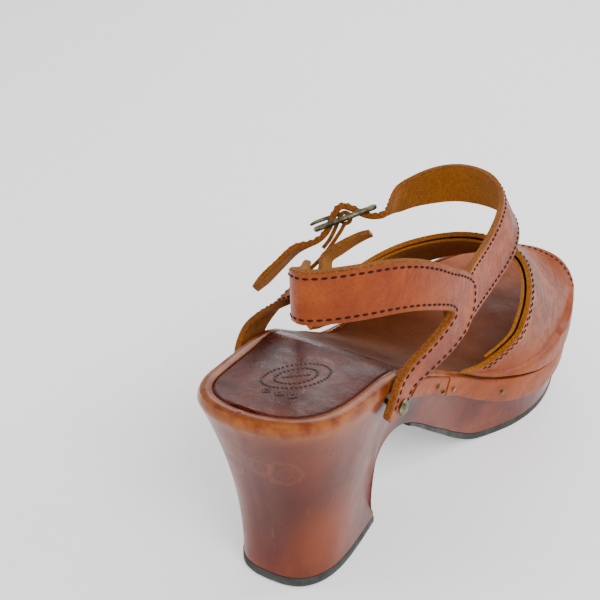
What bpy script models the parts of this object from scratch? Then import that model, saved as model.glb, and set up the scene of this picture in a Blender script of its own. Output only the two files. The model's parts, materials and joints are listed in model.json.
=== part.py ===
# Open-toe platform clog sandal, left shoe.
# Working coordinates are millimetres: x to the lateral side, s forward from the
# back of the heel seat, z up from the ground.  They become metres with +X lateral,
# the toe toward -Y and +Z up.
import bpy, bmesh, math
from mathutils import Vector, Matrix

MM = 0.001
GAP = 0.30                 # clearance between touching pieces

# ---------------------------------------------------------------- dimensions
# Sole stations: rim (s, x medial, x lateral, z) and bottom edge (s, x medial, x lateral, z).
SOLE = [
    ((0.0, 0.0, 0.0, 80.2), (19.6, 0.0, 0.0, 4.5)),
    ((1.2, 8.2, 8.0, 80.0), (20.2, 6.8, 6.2, 4.5)),
    ((4.2, 15.0, 14.6, 79.5), (22.4, 12.0, 11.0, 4.5)),
    ((10.0, 21.2, 20.6, 78.6), (27.0, 16.0, 14.8, 4.5)),
    ((19.0, 25.4, 24.8, 77.2), (33.5, 18.4, 17.1, 4.5)),
    ((31.0, 27.3, 26.8, 75.6), (42.5, 19.1, 17.7, 4.5)),
    ((44.0, 28.0, 27.8, 74.6), (54.0, 18.5, 17.3, 4.5)),
    ((53.0, 28.1, 28.5, 74.1), (66.0, 17.4, 16.6, 4.5)),
    ((56.5, 28.05, 28.7, 73.6), (62.8, 18.0, 17.3, 10.5)),
    ((59.0, 28.0, 28.9, 73.2), (60.8, 18.8, 18.2, 17.8)),
    ((60.8, 28.0, 29.1, 72.8), (60.2, 19.4, 19.0, 25.6)),
    ((63.0, 27.9, 29.4, 72.2), (61.2, 19.8, 19.7, 33.4)),
    ((69.0, 27.3, 30.1, 69.8), (66.0, 20.0, 20.4, 38.2)),
    ((77.0, 26.6, 31.1, 65.3), (74.5, 20.3, 21.2, 39.6)),
    ((87.0, 26.1, 32.3, 59.6), (84.0, 20.8, 22.2, 37.0)),
    ((95.0, 25.9, 33.1, 55.4), (94.0, 21.6, 23.5, 31.4)),
    ((105.0, 26.1, 34.3, 49.8), (104.5, 22.4, 25.2, 24.0)),
    ((115.0, 27.4, 35.8, 44.3), (115.0, 23.3, 27.2, 17.0)),
    ((125.0, 30.6, 37.8, 39.4), (125.0, 25.2, 29.6, 10.3)),
    ((136.0, 35.4, 39.8, 35.6), (136.0, 28.6, 32.8, 4.6)),
    ((146.0, 39.2, 41.2, 33.4), (145.5, 33.0, 35.8, 3.4)),
    ((157.0, 42.0, 41.8, 32.7), (156.0, 37.8, 38.4, 3.3)),
    ((169.0, 43.8, 41.4, 33.2), (168.0, 41.0, 39.4, 3.3)),
    ((182.0, 44.4, 39.4, 34.8), (181.0, 42.4, 38.0, 4.3)),
    ((195.0, 43.2, 35.8, 36.8), (194.0, 41.4, 34.6, 6.9)),
    ((207.0, 39.8, 30.6, 38.9), (205.6, 38.2, 29.4, 9.9)),
    ((217.0, 35.0, 24.6, 40.8), (215.0, 33.6, 23.4, 12.6)),
    ((226.0, 28.0, 16.8, 42.6), (223.6, 26.8, 15.8, 15.1)),
    ((232.5, 20.4, 8.8, 43.9), (229.8, 19.6, 8.0, 16.9)),
    ((236.6, 13.2, 0.4, 44.8), (233.6, 12.7, 0.0, 18.0)),
    ((238.0, 6.5, -6.5, 45.1), (235.0, 6.5, -6.5, 18.4)),
]
FLARE_HEEL, FLARE_TOE = 1.9, 1.0          # concavity of the side below the rim
RIM_INSET = [(0, 5.0), (48, 5.0), (80, 3.2), (238, 3.0)]
RECESS = 1.8                              # depth of the seat for the footbed leathers
PAD_SPLIT = 68.0                          # s where the heel pad meets the fore sock
LIFT_T = 4.2
OUTSOLE_FROM = 86.0
OUTSOLE_T = [(86, 1.5), (125, 3.0), (238, 3.0)]

RAND_FROM, RAND_T = 104.6, 2.2
RAND_TOP = [(70, 64.5), (84, 58.6), (95, 53.0), (104, 48.6), (115, 43.4), (125, 38.2), (136, 34.0), (147, 30.6),
            (160, 27.0), (170, 25.2), (182, 24.6), (195, 25.6), (203, 28.5), (209, 33.5),
            (215, 37.6), (226, 40.4), (238, 42.6)]
RAND_BOTTOM = [(70, 56.5), (84, 50.5), (95, 45.0), (104, 40.0), (115, 34.6), (125, 28.6), (136, 22.8),
               (147, 18.4), (160, 15.2), (170, 14.2), (182, 14.4), (195, 16.2), (207, 19.0),
               (217, 21.6), (226, 24.2), (238, 27.0)]
WAIST_FROM = 77.0

VAMP_T, LINING_T = 2.0, 1.0
VAMP_ROOT = (113.5, 112.5)                # s of the rear corners, medial and lateral
VAMP_TOE = (213.0, 199.0)                 # s of the front corners
VAMP_REAR = [(-32.6, 122.5, 45.2), (-37.0, 128.5, 48.8), (-40.4, 131.5, 53.0), (-42.4, 135.0, 56.4),
             (-42.8, 139.0, 60.6), (-42.2, 144.5, 65.6), (-40.4, 150.0, 69.4), (-37.0, 156.5, 72.6),
             (-31.0, 164.5, 74.6), (-22.0, 169.5, 76.8), (-11.0, 171.0, 77.2), (-1.0, 171.5, 75.6),
             (8.0, 170.5, 73.0), (16.0, 168.0, 70.2), (24.0, 164.5, 66.6), (31.0, 158.5, 62.6),
             (36.5, 148.0, 58.6), (40.0, 136.0, 54.8), (41.6, 124.0, 50.8), (41.0, 116.0, 46.4)]
VAMP_FRONT = [(-39.6, 214.6, 39.5), (-37.0, 217.0, 46.0), (-31.5, 217.0, 52.2), (-24.0, 213.0, 56.8),
              (-16.0, 208.0, 59.0), (-7.0, 204.5, 58.9), (1.0, 203.0, 57.2), (10.0, 201.0, 54.6),
              (19.0, 199.0, 51.4), (26.5, 197.0, 47.8), (32.0, 196.5, 43.0), (36.0, 197.5, 36.0)]

STRAP_T = 2.8
# Each station is (inner edge, outer edge, thickness centre); inner edge faces the heel opening.
QUARTER = [
    ((-28.3, 50.6, 59.6), (-28.3, 56.2, 58.6)),
    ((-28.9, 48.4, 62.2), (-28.9, 59.8, 60.4)),
    ((-29.9, 48.2, 66.4), (-29.7, 61.6, 63.2)),
    ((-30.5, 49.6, 71.2), (-30.3, 62.6, 66.2)),
    ((-30.9, 52.4, 76.0), (-31.4, 65.0, 68.6)),
    ((-32.4, 57.2, 80.6), (-33.6, 69.0, 71.0)),
    ((-35.0, 62.6, 84.6), (-36.0, 74.6, 74.2)),
    ((-37.2, 67.4, 88.6), (-38.0, 80.4, 77.4)),
    ((-38.4, 71.2, 91.4), (-39.4, 86.6, 82.0)),
    ((-38.9, 73.0, 93.2), (-39.6, 91.4, 89.6)),
    ((-38.9, 72.4, 94.8), (-39.2, 90.6, 98.6)),
    ((-38.8, 69.6, 96.4), (-38.8, 82.6, 105.4)),
    ((-38.3, 65.6, 98.2), (-38.3, 71.6, 111.4)),
    ((-37.0, 59.0, 101.0), (-37.0, 60.2, 117.6)),
    ((-34.6, 51.0, 103.8), (-34.6, 50.0, 122.0)),
    ((-31.0, 43.4, 105.2), (-31.0, 42.0, 124.0)),
    ((-26.4, 36.2, 105.6), (-26.4, 34.6, 124.6)),
    ((-20.8, 30.2, 105.4), (-20.8, 28.4, 124.4)),
    ((-15.4, 26.0, 105.0), (-15.6, 24.2, 124.0)),
    ((-10.6, 24.0, 104.6), (-11.0, 22.2, 123.6)),
    ((-6.6, 26.4, 103.4), (-6.8, 24.6, 122.4)),
    ((-3.6, 32.2, 100.8), (-3.8, 30.4, 119.6)),
    ((1.4, 42.6, 95.8), (1.2, 40.8, 114.0)),
    ((8.8, 56.0, 88.8), (8.6, 54.6, 106.4)),
    ((17.0, 70.6, 81.0), (16.8, 70.4, 98.0)),
    ((24.4, 82.4, 74.2), (24.0, 83.6, 91.0)),
    ((28.2, 87.6, 71.2), (28.2, 92.6, 88.0)),
    ((29.8, 88.0, 71.6), (32.0, 99.6, 83.6)),
    ((30.2, 84.8, 73.4), (34.2, 99.0, 77.2)),
    ((29.9, 78.4, 75.6), (35.0, 92.0, 73.6)),
    ((29.5, 70.0, 77.6), (34.6, 82.6, 72.0)),
    ((29.8, 61.6, 78.6), (33.6, 73.8, 70.8)),
    ((30.6, 54.6, 77.2), (32.4, 67.2, 69.0)),
    ((31.3, 50.6, 72.4), (31.8, 63.6, 66.4)),
    ((31.2, 48.6, 67.0), (31.2, 61.8, 63.2)),
    ((30.4, 48.6, 62.4), (30.4, 60.0, 60.4)),
    ((29.8, 50.8, 59.6), (29.8, 56.4, 58.6)),
]
TACK_S, TACK_Z = 55.6, 63.4
FOLD_AXIS_S, FOLD_AXIS_Z = TACK_S, TACK_Z

# Buckle: centre, direction along the strap, direction of the bar.
BUCKLE_C = (33.0, 131.0, 90.0)
BUCKLE_U = (0.713, -0.622, -0.327)
BUCKLE_W = (0.430, 0.810, -0.405)
BUCKLE_LEN, BUCKLE_WID, BUCKLE_WIRE = 27.0, 24.0, 1.25

INSTEP_T = 2.4
INSTEP = [   # (rear/top edge, front/bottom edge) on the medial side and over the instep
    ((-34.8, 76.6, 97.4), (-34.9, 80.2, 86.4)),
    ((-35.3, 82.6, 99.2), (-35.6, 85.2, 80.2)),
    ((-35.2, 91.0, 98.8), (-36.6, 93.4, 79.2)),
    ((-34.0, 101.6, 99.8), (-36.2, 106.6, 80.6)),
    ((-33.2, 112.0, 101.2), (-36.0, 119.6, 82.8)),
    ((-32.2, 122.6, 103.4), (-36.2, 131.0, 85.6)),
    ((-30.6, 132.6, 105.8), (-35.4, 141.6, 88.8)),
    ((-27.6, 142.6, 107.8), (-32.2, 151.6, 92.0)),
    ((-22.6, 151.4, 109.4), (-26.4, 159.4, 93.8)),
    ((-15.6, 158.6, 110.2), (-18.0, 164.8, 93.6)),
    ((-7.4, 162.6, 110.0), (-8.6, 167.6, 92.9)),
    ((0.8, 163.4, 109.0), (0.8, 167.6, 91.9)),
    ((8.4, 160.4, 107.0), (9.6, 165.0, 90.0)),
    ((14.2, 154.6, 104.2), (16.8, 161.0, 88.2)),
    ((18.2, 147.6, 100.8), (22.2, 156.4, 86.2)),
]
STRAP_W_AT_BUCKLE = 15.6
# passage through the buckle: (u along strap, n above the buckle plane)
PASSAGE = [(-15.5, -4.2), (-11.2, -3.6), (-7.4, -1.2), (-4.4, 2.2), (0.0, 5.0), (4.4, 2.2), (7.4, -1.2),
           (11.2, -3.7), (15.5, -4.6)]
TAIL = [   # centre, half-width direction handled by the buckle axis blending to this
    ((47.2, 116.4, 78.6), (0.36, 0.78, -0.51)),
    ((51.4, 110.4, 73.0), (0.34, 0.78, -0.53)),
    ((55.2, 105.0, 67.6), (0.32, 0.78, -0.54)),
    ((57.6, 101.6, 64.0), (0.32, 0.78, -0.54)),
]
BACKING = [  # buckle backing tab: (upper edge, lower edge)
    ((24.6, 92.0, 81.0), (24.8, 97.6, 74.6)),
    ((26.6, 99.6, 82.6), (27.8, 110.0, 75.6)),
    ((29.4, 106.4, 84.2), (31.2, 117.2, 77.2)),
    ((27.6, 113.0, 86.2), (29.2, 123.0, 79.0)),
    ((25.0, 119.0, 87.6), (26.8, 128.6, 81.0)),
    ((22.2, 124.0, 88.6), (23.8, 132.8, 83.0)),
    ((20.4, 128.0, 88.4), (21.2, 133.2, 84.6)),
]
BILLET_W = 13.0
BILLET_T = 1.6

COLORS = {
    'stained_wood': (0.30, 0.085, 0.045), 'tan_leather': (0.50, 0.20, 0.08), 'suede': (0.48, 0.26, 0.07),
    'pad_leather': (0.16, 0.035, 0.02), 'sock_leather': (0.48, 0.27, 0.16), 'black_rubber': (0.03, 0.03, 0.03),
    'antique_brass': (0.30, 0.26, 0.16),
}

# ---------------------------------------------------------------- helpers
for o in list(bpy.data.objects):
    bpy.data.objects.remove(o, do_unlink=True)
for c in list(bpy.data.collections):
    bpy.data.collections.remove(c)
col = bpy.data.collections.new("clog_sandal")
bpy.context.scene.collection.children.link(col)
cutcol = bpy.data.collections.new("cutters")
bpy.context.scene.collection.children.link(cutcol)
MATS = {}


def mat(name, slot):
    m = bpy.data.materials.new(name + "_mat")
    m.use_nodes = True
    b = m.node_tree.nodes["Principled BSDF"]
    b.inputs["Base Color"].default_value = (*COLORS[slot], 1.0)
    b.inputs["Roughness"].default_value = 0.5
    if slot == 'antique_brass':
        b.inputs["Metallic"].default_value = 1.0
    return m


def P(x, s, z):
    return Vector((x * MM, -s * MM, z * MM))


def tab(table, s):
    if s <= table[0][0]:
        return table[0][1]
    for a, b in zip(table[:-1], table[1:]):
        if s <= b[0]:
            t = (s - a[0]) / (b[0] - a[0])
            return a[1] + (b[1] - a[1]) * t
    return table[-1][1]


def catmull(p0, p1, p2, p3, t):
    # centripetal Catmull-Rom through p1..p2
    def knot(a, b):
        d = math.sqrt(sum((x - y) ** 2 for x, y in zip(a, b)))
        return max(d, 1e-6) ** 0.5
    t0 = 0.0
    t1 = t0 + knot(p0, p1)
    t2 = t1 + knot(p1, p2)
    t3 = t2 + knot(p2, p3)
    x = t1 + (t2 - t1) * t

    def mix(a, b, ta, tb):
        return tuple(((tb - x) * u + (x - ta) * v) / (tb - ta) for u, v in zip(a, b))
    a1, a2, a3 = mix(p0, p1, t0, t1), mix(p1, p2, t1, t2), mix(p2, p3, t2, t3)
    b1, b2 = mix(a1, a2, t0, t2), mix(a2, a3, t1, t3)
    return mix(b1, b2, t1, t2)


def spline(pts, sub, keep_last=True):
    # pts: list of flat tuples; returns refined list
    out = []
    n = len(pts)
    for i in range(n - 1):
        a = pts[i - 1] if i > 0 else tuple(2 * u - v for u, v in zip(pts[0], pts[1]))
        d = pts[i + 2] if i + 2 < n else tuple(2 * u - v for u, v in zip(pts[-1], pts[-2]))
        for k in range(sub):
            out.append(catmull(a, pts[i], pts[i + 1], d, k / sub) if k else tuple(pts[i]))
    if keep_last:
        out.append(tuple(pts[-1]))
    return out


def resample(pts, n):
    # equal arc length, pts are 3-tuples
    L = [0.0]
    for a, b in zip(pts[:-1], pts[1:]):
        L.append(L[-1] + math.dist(a, b))
    out = []
    j = 0
    for k in range(n):
        d = L[-1] * k / (n - 1)
        while j < len(L) - 2 and L[j + 1] < d:
            j += 1
        t = (d - L[j]) / max(L[j + 1] - L[j], 1e-9)
        out.append(tuple(a + (b - a) * min(max(t, 0), 1) for a, b in zip(pts[j], pts[j + 1])))
    return out


def add_object(name, bm, slot, origin=None, collection=None, smooth=True):
    bmesh.ops.remove_doubles(bm, verts=bm.verts, dist=2e-6)
    bmesh.ops.triangulate(bm, faces=[f for f in bm.faces if len(f.verts) > 4])
    bmesh.ops.recalc_face_normals(bm, faces=bm.faces)
    me = bpy.data.meshes.new(name)
    if origin is not None:
        bmesh.ops.translate(bm, verts=bm.verts, vec=-origin)
    bm.to_mesh(me)
    bm.free()
    o = bpy.data.objects.new(name, me)
    (collection or col).objects.link(o)
    if origin is not None:
        o.location = origin
    if slot:
        me.materials.append(mat(name, slot))
    return o


def loft(bm, loops, close_ends=True, closed=False):
    # loops: list of equal-length closed loops of Vectors
    rows = [[bm.verts.new(p) for p in lp] for lp in loops]
    n = len(rows[0])
    m = len(rows)
    for i in range(m if closed else m - 1):
        a, b = rows[i], rows[(i + 1) % m]
        for k in range(n):
            bm.faces.new((a[k], a[(k + 1) % n], b[(k + 1) % n], b[k]))
    if close_ends and not closed:
        bm.faces.new(list(reversed(rows[0])))
        bm.faces.new(rows[-1])
    return rows


def boolean(target, cutter, op='DIFFERENCE'):
    md = target.modifiers.new("cut", 'BOOLEAN')
    md.operation = op
    md.solver = 'EXACT'
    md.object = cutter
    cutter.hide_render = True
    cutter.display_type = 'WIRE'
    dg = bpy.context.evaluated_depsgraph_get()
    me = bpy.data.meshes.new_from_object(target.evaluated_get(dg))
    target.modifiers.clear()
    old = target.data
    mats = [m for m in old.materials]
    target.data = me
    if not me.materials:
        for m in mats:
            me.materials.append(m)
    me.name = target.name
    bm = bmesh.new()
    bm.from_mesh(me)
    bmesh.ops.remove_doubles(bm, verts=bm.verts, dist=2e-6)
    bmesh.ops.dissolve_degenerate(bm, dist=1e-6, edges=bm.edges)
    bmesh.ops.triangulate(bm, faces=[f for f in bm.faces if len(f.verts) > 4])
    bm.to_mesh(me)
    bm.free()


def cyl_between(bm, a, b, r, seg=16, r2=None):
    d = b - a
    mtx = Matrix.Translation((a + b) / 2) @ d.to_track_quat('Z', 'Y').to_matrix().to_4x4()
    bmesh.ops.create_cone(bm, cap_ends=True, segments=seg, radius1=r, radius2=r if r2 is None else r2,
                          depth=d.length, matrix=mtx)


def revolved(name, profile, base, axis, slot, seg=16):
    # a turned piece: profile of (radius, height) in mm, top to bottom, both ends on the axis
    me = bpy.data.meshes.new(name)
    me.from_pydata([(r * MM, 0.0, h * MM) for r, h in profile], [(i, i + 1) for i in range(len(profile) - 1)], [])
    o = bpy.data.objects.new(name, me)
    col.objects.link(o)
    md = o.modifiers.new("turn", 'SCREW')
    md.axis = 'Z'
    md.steps = seg
    md.render_steps = seg
    md.use_merge_vertices = True
    md.merge_threshold = 0.00001
    md.use_smooth_shade = True
    me.materials.append(mat(name, slot))
    o.location = base
    o.rotation_mode = 'QUATERNION'
    o.rotation_quaternion = axis.to_track_quat('Z', 'Y')
    return o


# ---------------------------------------------------------------- sole
flat = [tuple(t) + tuple(b) for t, b in SOLE]
SOLE_SUB = 1
ST = spline(flat, SOLE_SUB)
NS = len(ST)


def plan(side, i, which):
    r = ST[i]
    k = 0 if which == 't' else 4
    x = -r[k + 1] if side < 0 else r[k + 2]
    return (x, r[k], r[k + 3])


def ring_index():
    # medial 0..NS-1 then lateral NS-2..1
    return [(-1, i) for i in range(NS)] + [(1, i) for i in range(NS - 2, 0, -1)]


RI = ring_index()
TOPR = [plan(sd, i, 't') for sd, i in RI]
BOTR = [plan(sd, i, 'b') for sd, i in RI]
NR = len(RI)
NRM = []
for k in range(NR):
    a, b = TOPR[k - 1], TOPR[(k + 1) % NR]
    tx, ts = b[0] - a[0], b[1] - a[1]
    L = math.hypot(tx, ts)
    # outward: medial side travels toward the toe, outward is -x
    NRM.append((-ts / L, tx / L))


def flare(s):
    t = min(max((s - 60) / 50, 0), 1)
    return FLARE_HEEL + (FLARE_TOE - FLARE_HEEL) * t


def drop(s):
    return 3.2 if s < 60 else 2.2


def side_point(k, v):
    t, b = TOPR[k], BOTR[k]
    p = flare(t[1])
    h = 1 - (1 - v) ** p
    # near the heel breast the side runs straight down before it turns to the base corner
    w = min(max((t[1] - 28) / 24, 0), 1) * min(max((88 - t[1]) / 18, 0), 1)
    hs = h * (1 - w) + v ** 3.6 * w
    z0 = t[2] - drop(t[1])
    return (t[0] + (b[0] - t[0]) * h, t[1] + (b[1] - t[1]) * hs, z0 + (b[2] - z0) * v)


def side_at_z(k, z):
    z0 = TOPR[k][2] - drop(TOPR[k][1])
    v = (z - z0) / (BOTR[k][2] - z0)
    return side_point(k, min(max(v, 0.0), 1.0))


def inset_ring(d_fn, z_fn):
    out = []
    for k in range(NR):
        t = TOPR[k]
        d = d_fn(t[1])
        z = z_fn(t)
        out.append((t[0] - NRM[k][0] * d, t[1] - NRM[k][1] * d, z))
    return out


def rim_inset(s):
    return tab(RIM_INSET, s)


def cap_strip(bm, ring, reverse=False):
    # ring: list of verts in RI order; strips between medial i and lateral i
    med = ring[:NS]
    lat = [ring[0]] + list(reversed(ring[NS:])) + [ring[NS - 1]]
    for i in range(NS - 1):
        vs = [med[i], med[i + 1], lat[i + 1], lat[i]]
        uniq = []
        for v in vs:
            if v not in uniq:
                uniq.append(v)
        if len(uniq) >= 3:
            bm.faces.new(uniq)


bm = bmesh.new()
rings = []
rings.append(inset_ring(rim_inset, lambda t: t[2] - RECESS))
rings.append(inset_ring(rim_inset, lambda t: t[2] - 0.35))
rings.append(inset_ring(lambda s: rim_inset(s) - 0.4, lambda t: t[2]))
rings.append(inset_ring(lambda s: 2.0, lambda t: t[2] + 0.15))
rings.append(inset_ring(lambda s: 0.9, lambda t: t[2] - 0.35))
rings.append(inset_ring(lambda s: 0.25, lambda t: t[2] - drop(t[1]) * 0.5))
NV = 8
for j in range(NV + 1):
    v = (j / NV) ** 1.15
    rings.append([side_point(k, v) for k in range(NR)])
rv = [[bm.verts.new(P(*p)) for p in r] for r in rings]
for a, b in zip(rv[:-1], rv[1:]):
    for k in range(NR):
        k2 = (k + 1) % NR
        bm.faces.new((a[k], a[k2], b[k2], b[k]))
cap_strip(bm, rv[0])
cap_strip(bm, rv[-1])
wood = add_object("wood_sole", bm, 'stained_wood')


def station_at(s, side=-1):
    # fractional ring index on the requested side whose rim is at s
    for i in range(NS - 1):
        if ST[i][0] <= s <= ST[i + 1][0]:
            t = (s - ST[i][0]) / (ST[i + 1][0] - ST[i][0])
            return i + t
    return NS - 1.0


def wood_edge(side, s, z):
    # outer surface of the wood on a side at rim station s and height z: point and outward normal
    f = station_at(s)
    i = int(min(f, NS - 2))
    t = f - i
    ks = []
    for j in (i, i + 1):
        ks.append(j if side < 0 else (NR - j) % NR if j not in (0, NS - 1) else j)
    pa, pb = side_at_z(ks[0], z), side_at_z(ks[1], z)
    na, nb = NRM[ks[0]], NRM[ks[1]]
    n = (na[0] * (1 - t) + nb[0] * t, na[1] * (1 - t) + nb[1] * t)
    L = math.hypot(*n)
    return tuple(a * (1 - t) + b * t for a, b in zip(pa, pb)), (n[0] / L, n[1] / L)


def rim_z(s):
    f = station_at(s)
    i = int(min(f, NS - 2))
    t = f - i
    return ST[i][3] * (1 - t) + ST[i + 1][3] * t


# footbed leathers sit in the recess
def footbed(name, s0, s1, slot, edge=0.35):
    floor = inset_ring(lambda s: rim_inset(s) + edge, lambda t: t[2] - RECESS + GAP)
    wall = inset_ring(lambda s: rim_inset(s) + edge, lambda t: t[2] - 0.55)
    top = inset_ring(lambda s: rim_inset(s) + edge + 0.7, lambda t: t[2] - 0.05)
    med_all = list(range(NS))
    f0, f1 = station_at(s0), station_at(s1)
    bm = bmesh.new()

    def at(ring, side, f):
        i = int(min(f, NS - 2))
        t = f - i
        idx = []
        for j in (i, i + 1):
            idx.append(j if side < 0 or j in (0, NS - 1) else NR - j)
        a, b = ring[idx[0]], ring[idx[1]]
        return tuple(u * (1 - t) + v * t for u, v in zip(a, b))
    fs = [f0] + [i for i in range(NS) if f0 + 0.25 < i < f1 - 0.25] + [f1]
    loops = []
    for f in fs:
        sec = []
        tl, tm = at(top, 1, f), at(top, -1, f)
        dome = 0.35
        for q in (0.0, 0.25, 0.5, 0.75, 1.0):
            p = tuple(u * (1 - q) + v * q for u, v in zip(tm, tl))
            sec.append((p[0], p[1], p[2] + dome * math.sin(math.pi * q)))
        sec.append(at(wall, 1, f))
        fl, fm = at(floor, 1, f), at(floor, -1, f)
        sec.append(fl)
        sec.append(tuple((u + v) / 2 for u, v in zip(fl, fm)))
        sec.append(fm)
        sec.append(at(wall, -1, f))
        loops.append([P(*p) for p in sec])
    loft(bm, loops)
    return add_object(name, bm, slot)


footbed("heel_pad", 0.9, PAD_SPLIT, 'pad_leather')
footbed("insole_sock", PAD_SPLIT + 0.6, 237.2, 'sock_leather')

# rubber heel lift under the heel base
n_base = [i for i in range(NS) if ST[i][7] < 4.6 and ST[i][4] < 66.5]
i_last = max(n_base)
bm = bmesh.new()
med = [plan(-1, i, 'b') for i in range(0, i_last + 1)]
lat = [plan(1, i, 'b') for i in range(i_last, 0, -1)]
outline = med + lat
cx, cs = 0.0, 44.0


def scaled(o, d, z):
    r = []
    for x, s, _ in o:
        L = math.hypot(x - cx, s - cs)
        r.append((cx + (x - cx) * (L - d) / L, cs + (s - cs) * (L - d) / L, z))
    return r


loft(bm, [[P(*p) for p in scaled(outline, d, z)] for d, z in
          ((0.9, 0.0), (0.25, 0.5), (-0.35, 1.4), (-0.35, LIFT_T - 0.5), (0.0, LIFT_T))])
lift = add_object("heel_top_lift", bm, 'black_rubber')

# rubber forepart outsole under the shank and ball
bm = bmesh.new()
loops = []
fi = [i for i in range(NS) if ST[i][4] >= OUTSOLE_FROM]
for i in fi:
    m, l = plan(-1, i, 'b'), plan(1, i, 'b')
    t = tab(OUTSOLE_T, m[1])
    zt = m[2] - GAP
    # pull the edge in a touch at the very tip so the section keeps a width
    if abs(m[0] - l[0]) < 1.0:
        m = (m[0] - 1.2, m[1] - 0.3, m[2])
        l = (l[0] + 1.2, l[1] - 0.3, l[2])
    zb = max(zt - t, 0.0)
    mid = (m[0] + l[0]) / 2
    sec = [(m[0] + 0.2, m[1], zt), (mid, m[1], zt), (l[0] - 0.2, l[1], zt), (l[0], l[1], zt - 0.35),
           (l[0], l[1], zb + 0.35), (l[0] - 0.5, l[1], zb), (mid, m[1], zb), (m[0] + 0.5, m[1], zb),
           (m[0], m[1], zb + 0.35), (m[0], m[1], zt - 0.35)]
    loops.append([P(*p) for p in sec])
loft(bm, loops)
add_object("forepart_outsole", bm, 'black_rubber')


# ---------------------------------------------------------------- rand
def rand_piece(name, path, t, slot='tan_leather'):
    # path: list of (side, s)
    bm = bmesh.new()
    loops = []
    for side, s in path:
        zt, zb = tab(RAND_TOP, s), tab(RAND_BOTTOM, s)
        sec_in, sec_out = [], []
        for q in (0.0, 0.08, 0.5, 0.92, 1.0):
            z = zt + (zb - zt) * q
            p, n = wood_edge(side, s, z)
            e = 0.45 if q in (0.0, 1.0) else 0.0
            sec_in.append((p[0] + n[0] * GAP, p[1] + n[1] * GAP, z))
            sec_out.append((p[0] + n[0] * (GAP + t - e), p[1] + n[1] * (GAP + t - e), z))
        loops.append([P(*p) for p in sec_in + list(reversed(sec_out))])
    loft(bm, loops)
    return add_object(name, bm, slot)


def s_list(a, b):
    mids = [ST[i][0] for i in range(NS) if a + 0.8 < ST[i][0] < b - 0.8]
    return [a] + mids + [b]


left = [(-1, s) for s in s_list(RAND_FROM, 237.8)]
right = [(1, s) for s in reversed(s_list(RAND_FROM, 237.8))]
rand_piece("rand_forepart", left + [(-1, 238.0)] + right, RAND_T)
rand_piece("rand_waist_medial", [(-1, s) for s in s_list(WAIST_FROM, RAND_FROM - 0.6)], 1.9)
rand_piece("rand_waist_lateral", [(1, s) for s in s_list(WAIST_FROM, RAND_FROM - 0.6)], 1.9)


# ---------------------------------------------------------------- vamp
def foot_line(side, s0, s1, n):
    out = []
    for k in range(n):
        s = s0 + (s1 - s0) * k / (n - 1)
        z = tab(RAND_TOP, s) + GAP + 1.6
        p, nn = wood_edge(side, s, z)
        d = GAP + VAMP_T / 2 + 0.05
        out.append((p[0] + nn[0] * d, p[1] + nn[1] * d, z))
    return out


NU, NVV = 11, 31
MED = foot_line(-1, VAMP_ROOT[0], VAMP_TOE[0], NU)
LAT = foot_line(1, VAMP_ROOT[1], VAMP_TOE[1], NU)
REAR = resample(spline([MED[0]] + VAMP_REAR + [LAT[0]], 6), NVV)
FRONT = resample(spline([MED[-1]] + VAMP_FRONT + [LAT[-1]], 6), NVV)


def wfun(v):
    return max(0.0, 1 - v / 0.42) ** 1.6


def vamp_point(u, v):
    # v index may be fractional
    f = v * (NVV - 1)
    i = int(min(f, NVV - 2))
    t = f - i
    R = tuple(a * (1 - t) + b * t for a, b in zip(REAR[i], REAR[i + 1]))
    F = tuple(a * (1 - t) + b * t for a, b in zip(FRONT[i], FRONT[i + 1]))
    g = min(max(u, 0), 1) * (NU - 1)
    j = int(min(g, NU - 2))
    tt = g - j
    M = tuple(a * (1 - tt) + b * tt for a, b in zip(MED[j], MED[j + 1]))
    L = tuple(a * (1 - tt) + b * tt for a, b in zip(LAT[j], LAT[j + 1]))
    out = []
    for c in range(3):
        dm = M[c] - (MED[0][c] * (1 - min(max(u, 0), 1)) + MED[-1][c] * min(max(u, 0), 1))
        dl = L[c] - (LAT[0][c] * (1 - min(max(u, 0), 1)) + LAT[-1][c] * min(max(u, 0), 1))
        out.append(R[c] * (1 - u) + F[c] * u + wfun(v) * dm + wfun(1 - v) * dl)
    x, s, z = out
    side = -1 if v < 0.5 else 1
    zr = rim_z(s)
    if z < zr + 1.5 and s < 232:
        p, n = wood_edge(side, s, min(z, zr - 2.0))
        need = abs(p[0]) + (GAP + VAMP_T / 2 + 0.8) / max(abs(n[0]), 0.6)
        if abs(x) < need:
            x = need * side
    return Vector((x, s, z))


def shell(name, grid, t, slot):
    # grid[i][j] of Vectors (x,s,z); solid of thickness t about the grid
    rows, cols = len(grid), len(grid[0])
    nrm = [[None] * cols for _ in range(rows)]
    for i in range(rows):
        for j in range(cols):
            a = grid[min(i + 1, rows - 1)][j] - grid[max(i - 1, 0)][j]
            b = grid[i][min(j + 1, cols - 1)] - grid[i][max(j - 1, 0)]
            n = a.cross(b)
            nrm[i][j] = n.normalized()
    bm = bmesh.new()
    top = [[bm.verts.new(P(*(grid[i][j] + nrm[i][j] * (t / 2)))) for j in range(cols)] for i in range(rows)]
    bot = [[bm.verts.new(P(*(grid[i][j] - nrm[i][j] * (t / 2)))) for j in range(cols)] for i in range(rows)]
    for i in range(rows - 1):
        for j in range(cols - 1):
            bm.faces.new((top[i][j], top[i + 1][j], top[i + 1][j + 1], top[i][j + 1]))
            bm.faces.new((bot[i][j], bot[i][j + 1], bot[i + 1][j + 1], bot[i + 1][j]))
    for i in range(rows - 1):
        bm.faces.new((top[i][0], bot[i][0], bot[i + 1][0], top[i + 1][0]))
        bm.faces.new((top[i][-1], top[i + 1][-1], bot[i + 1][-1], bot[i][-1]))
    for j in range(cols - 1):
        bm.faces.new((top[0][j], top[0][j + 1], bot[0][j + 1], bot[0][j]))
        bm.faces.new((top[-1][j], bot[-1][j], bot[-1][j + 1], top[-1][j + 1]))
    return add_object(name, bm, slot), nrm


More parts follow.
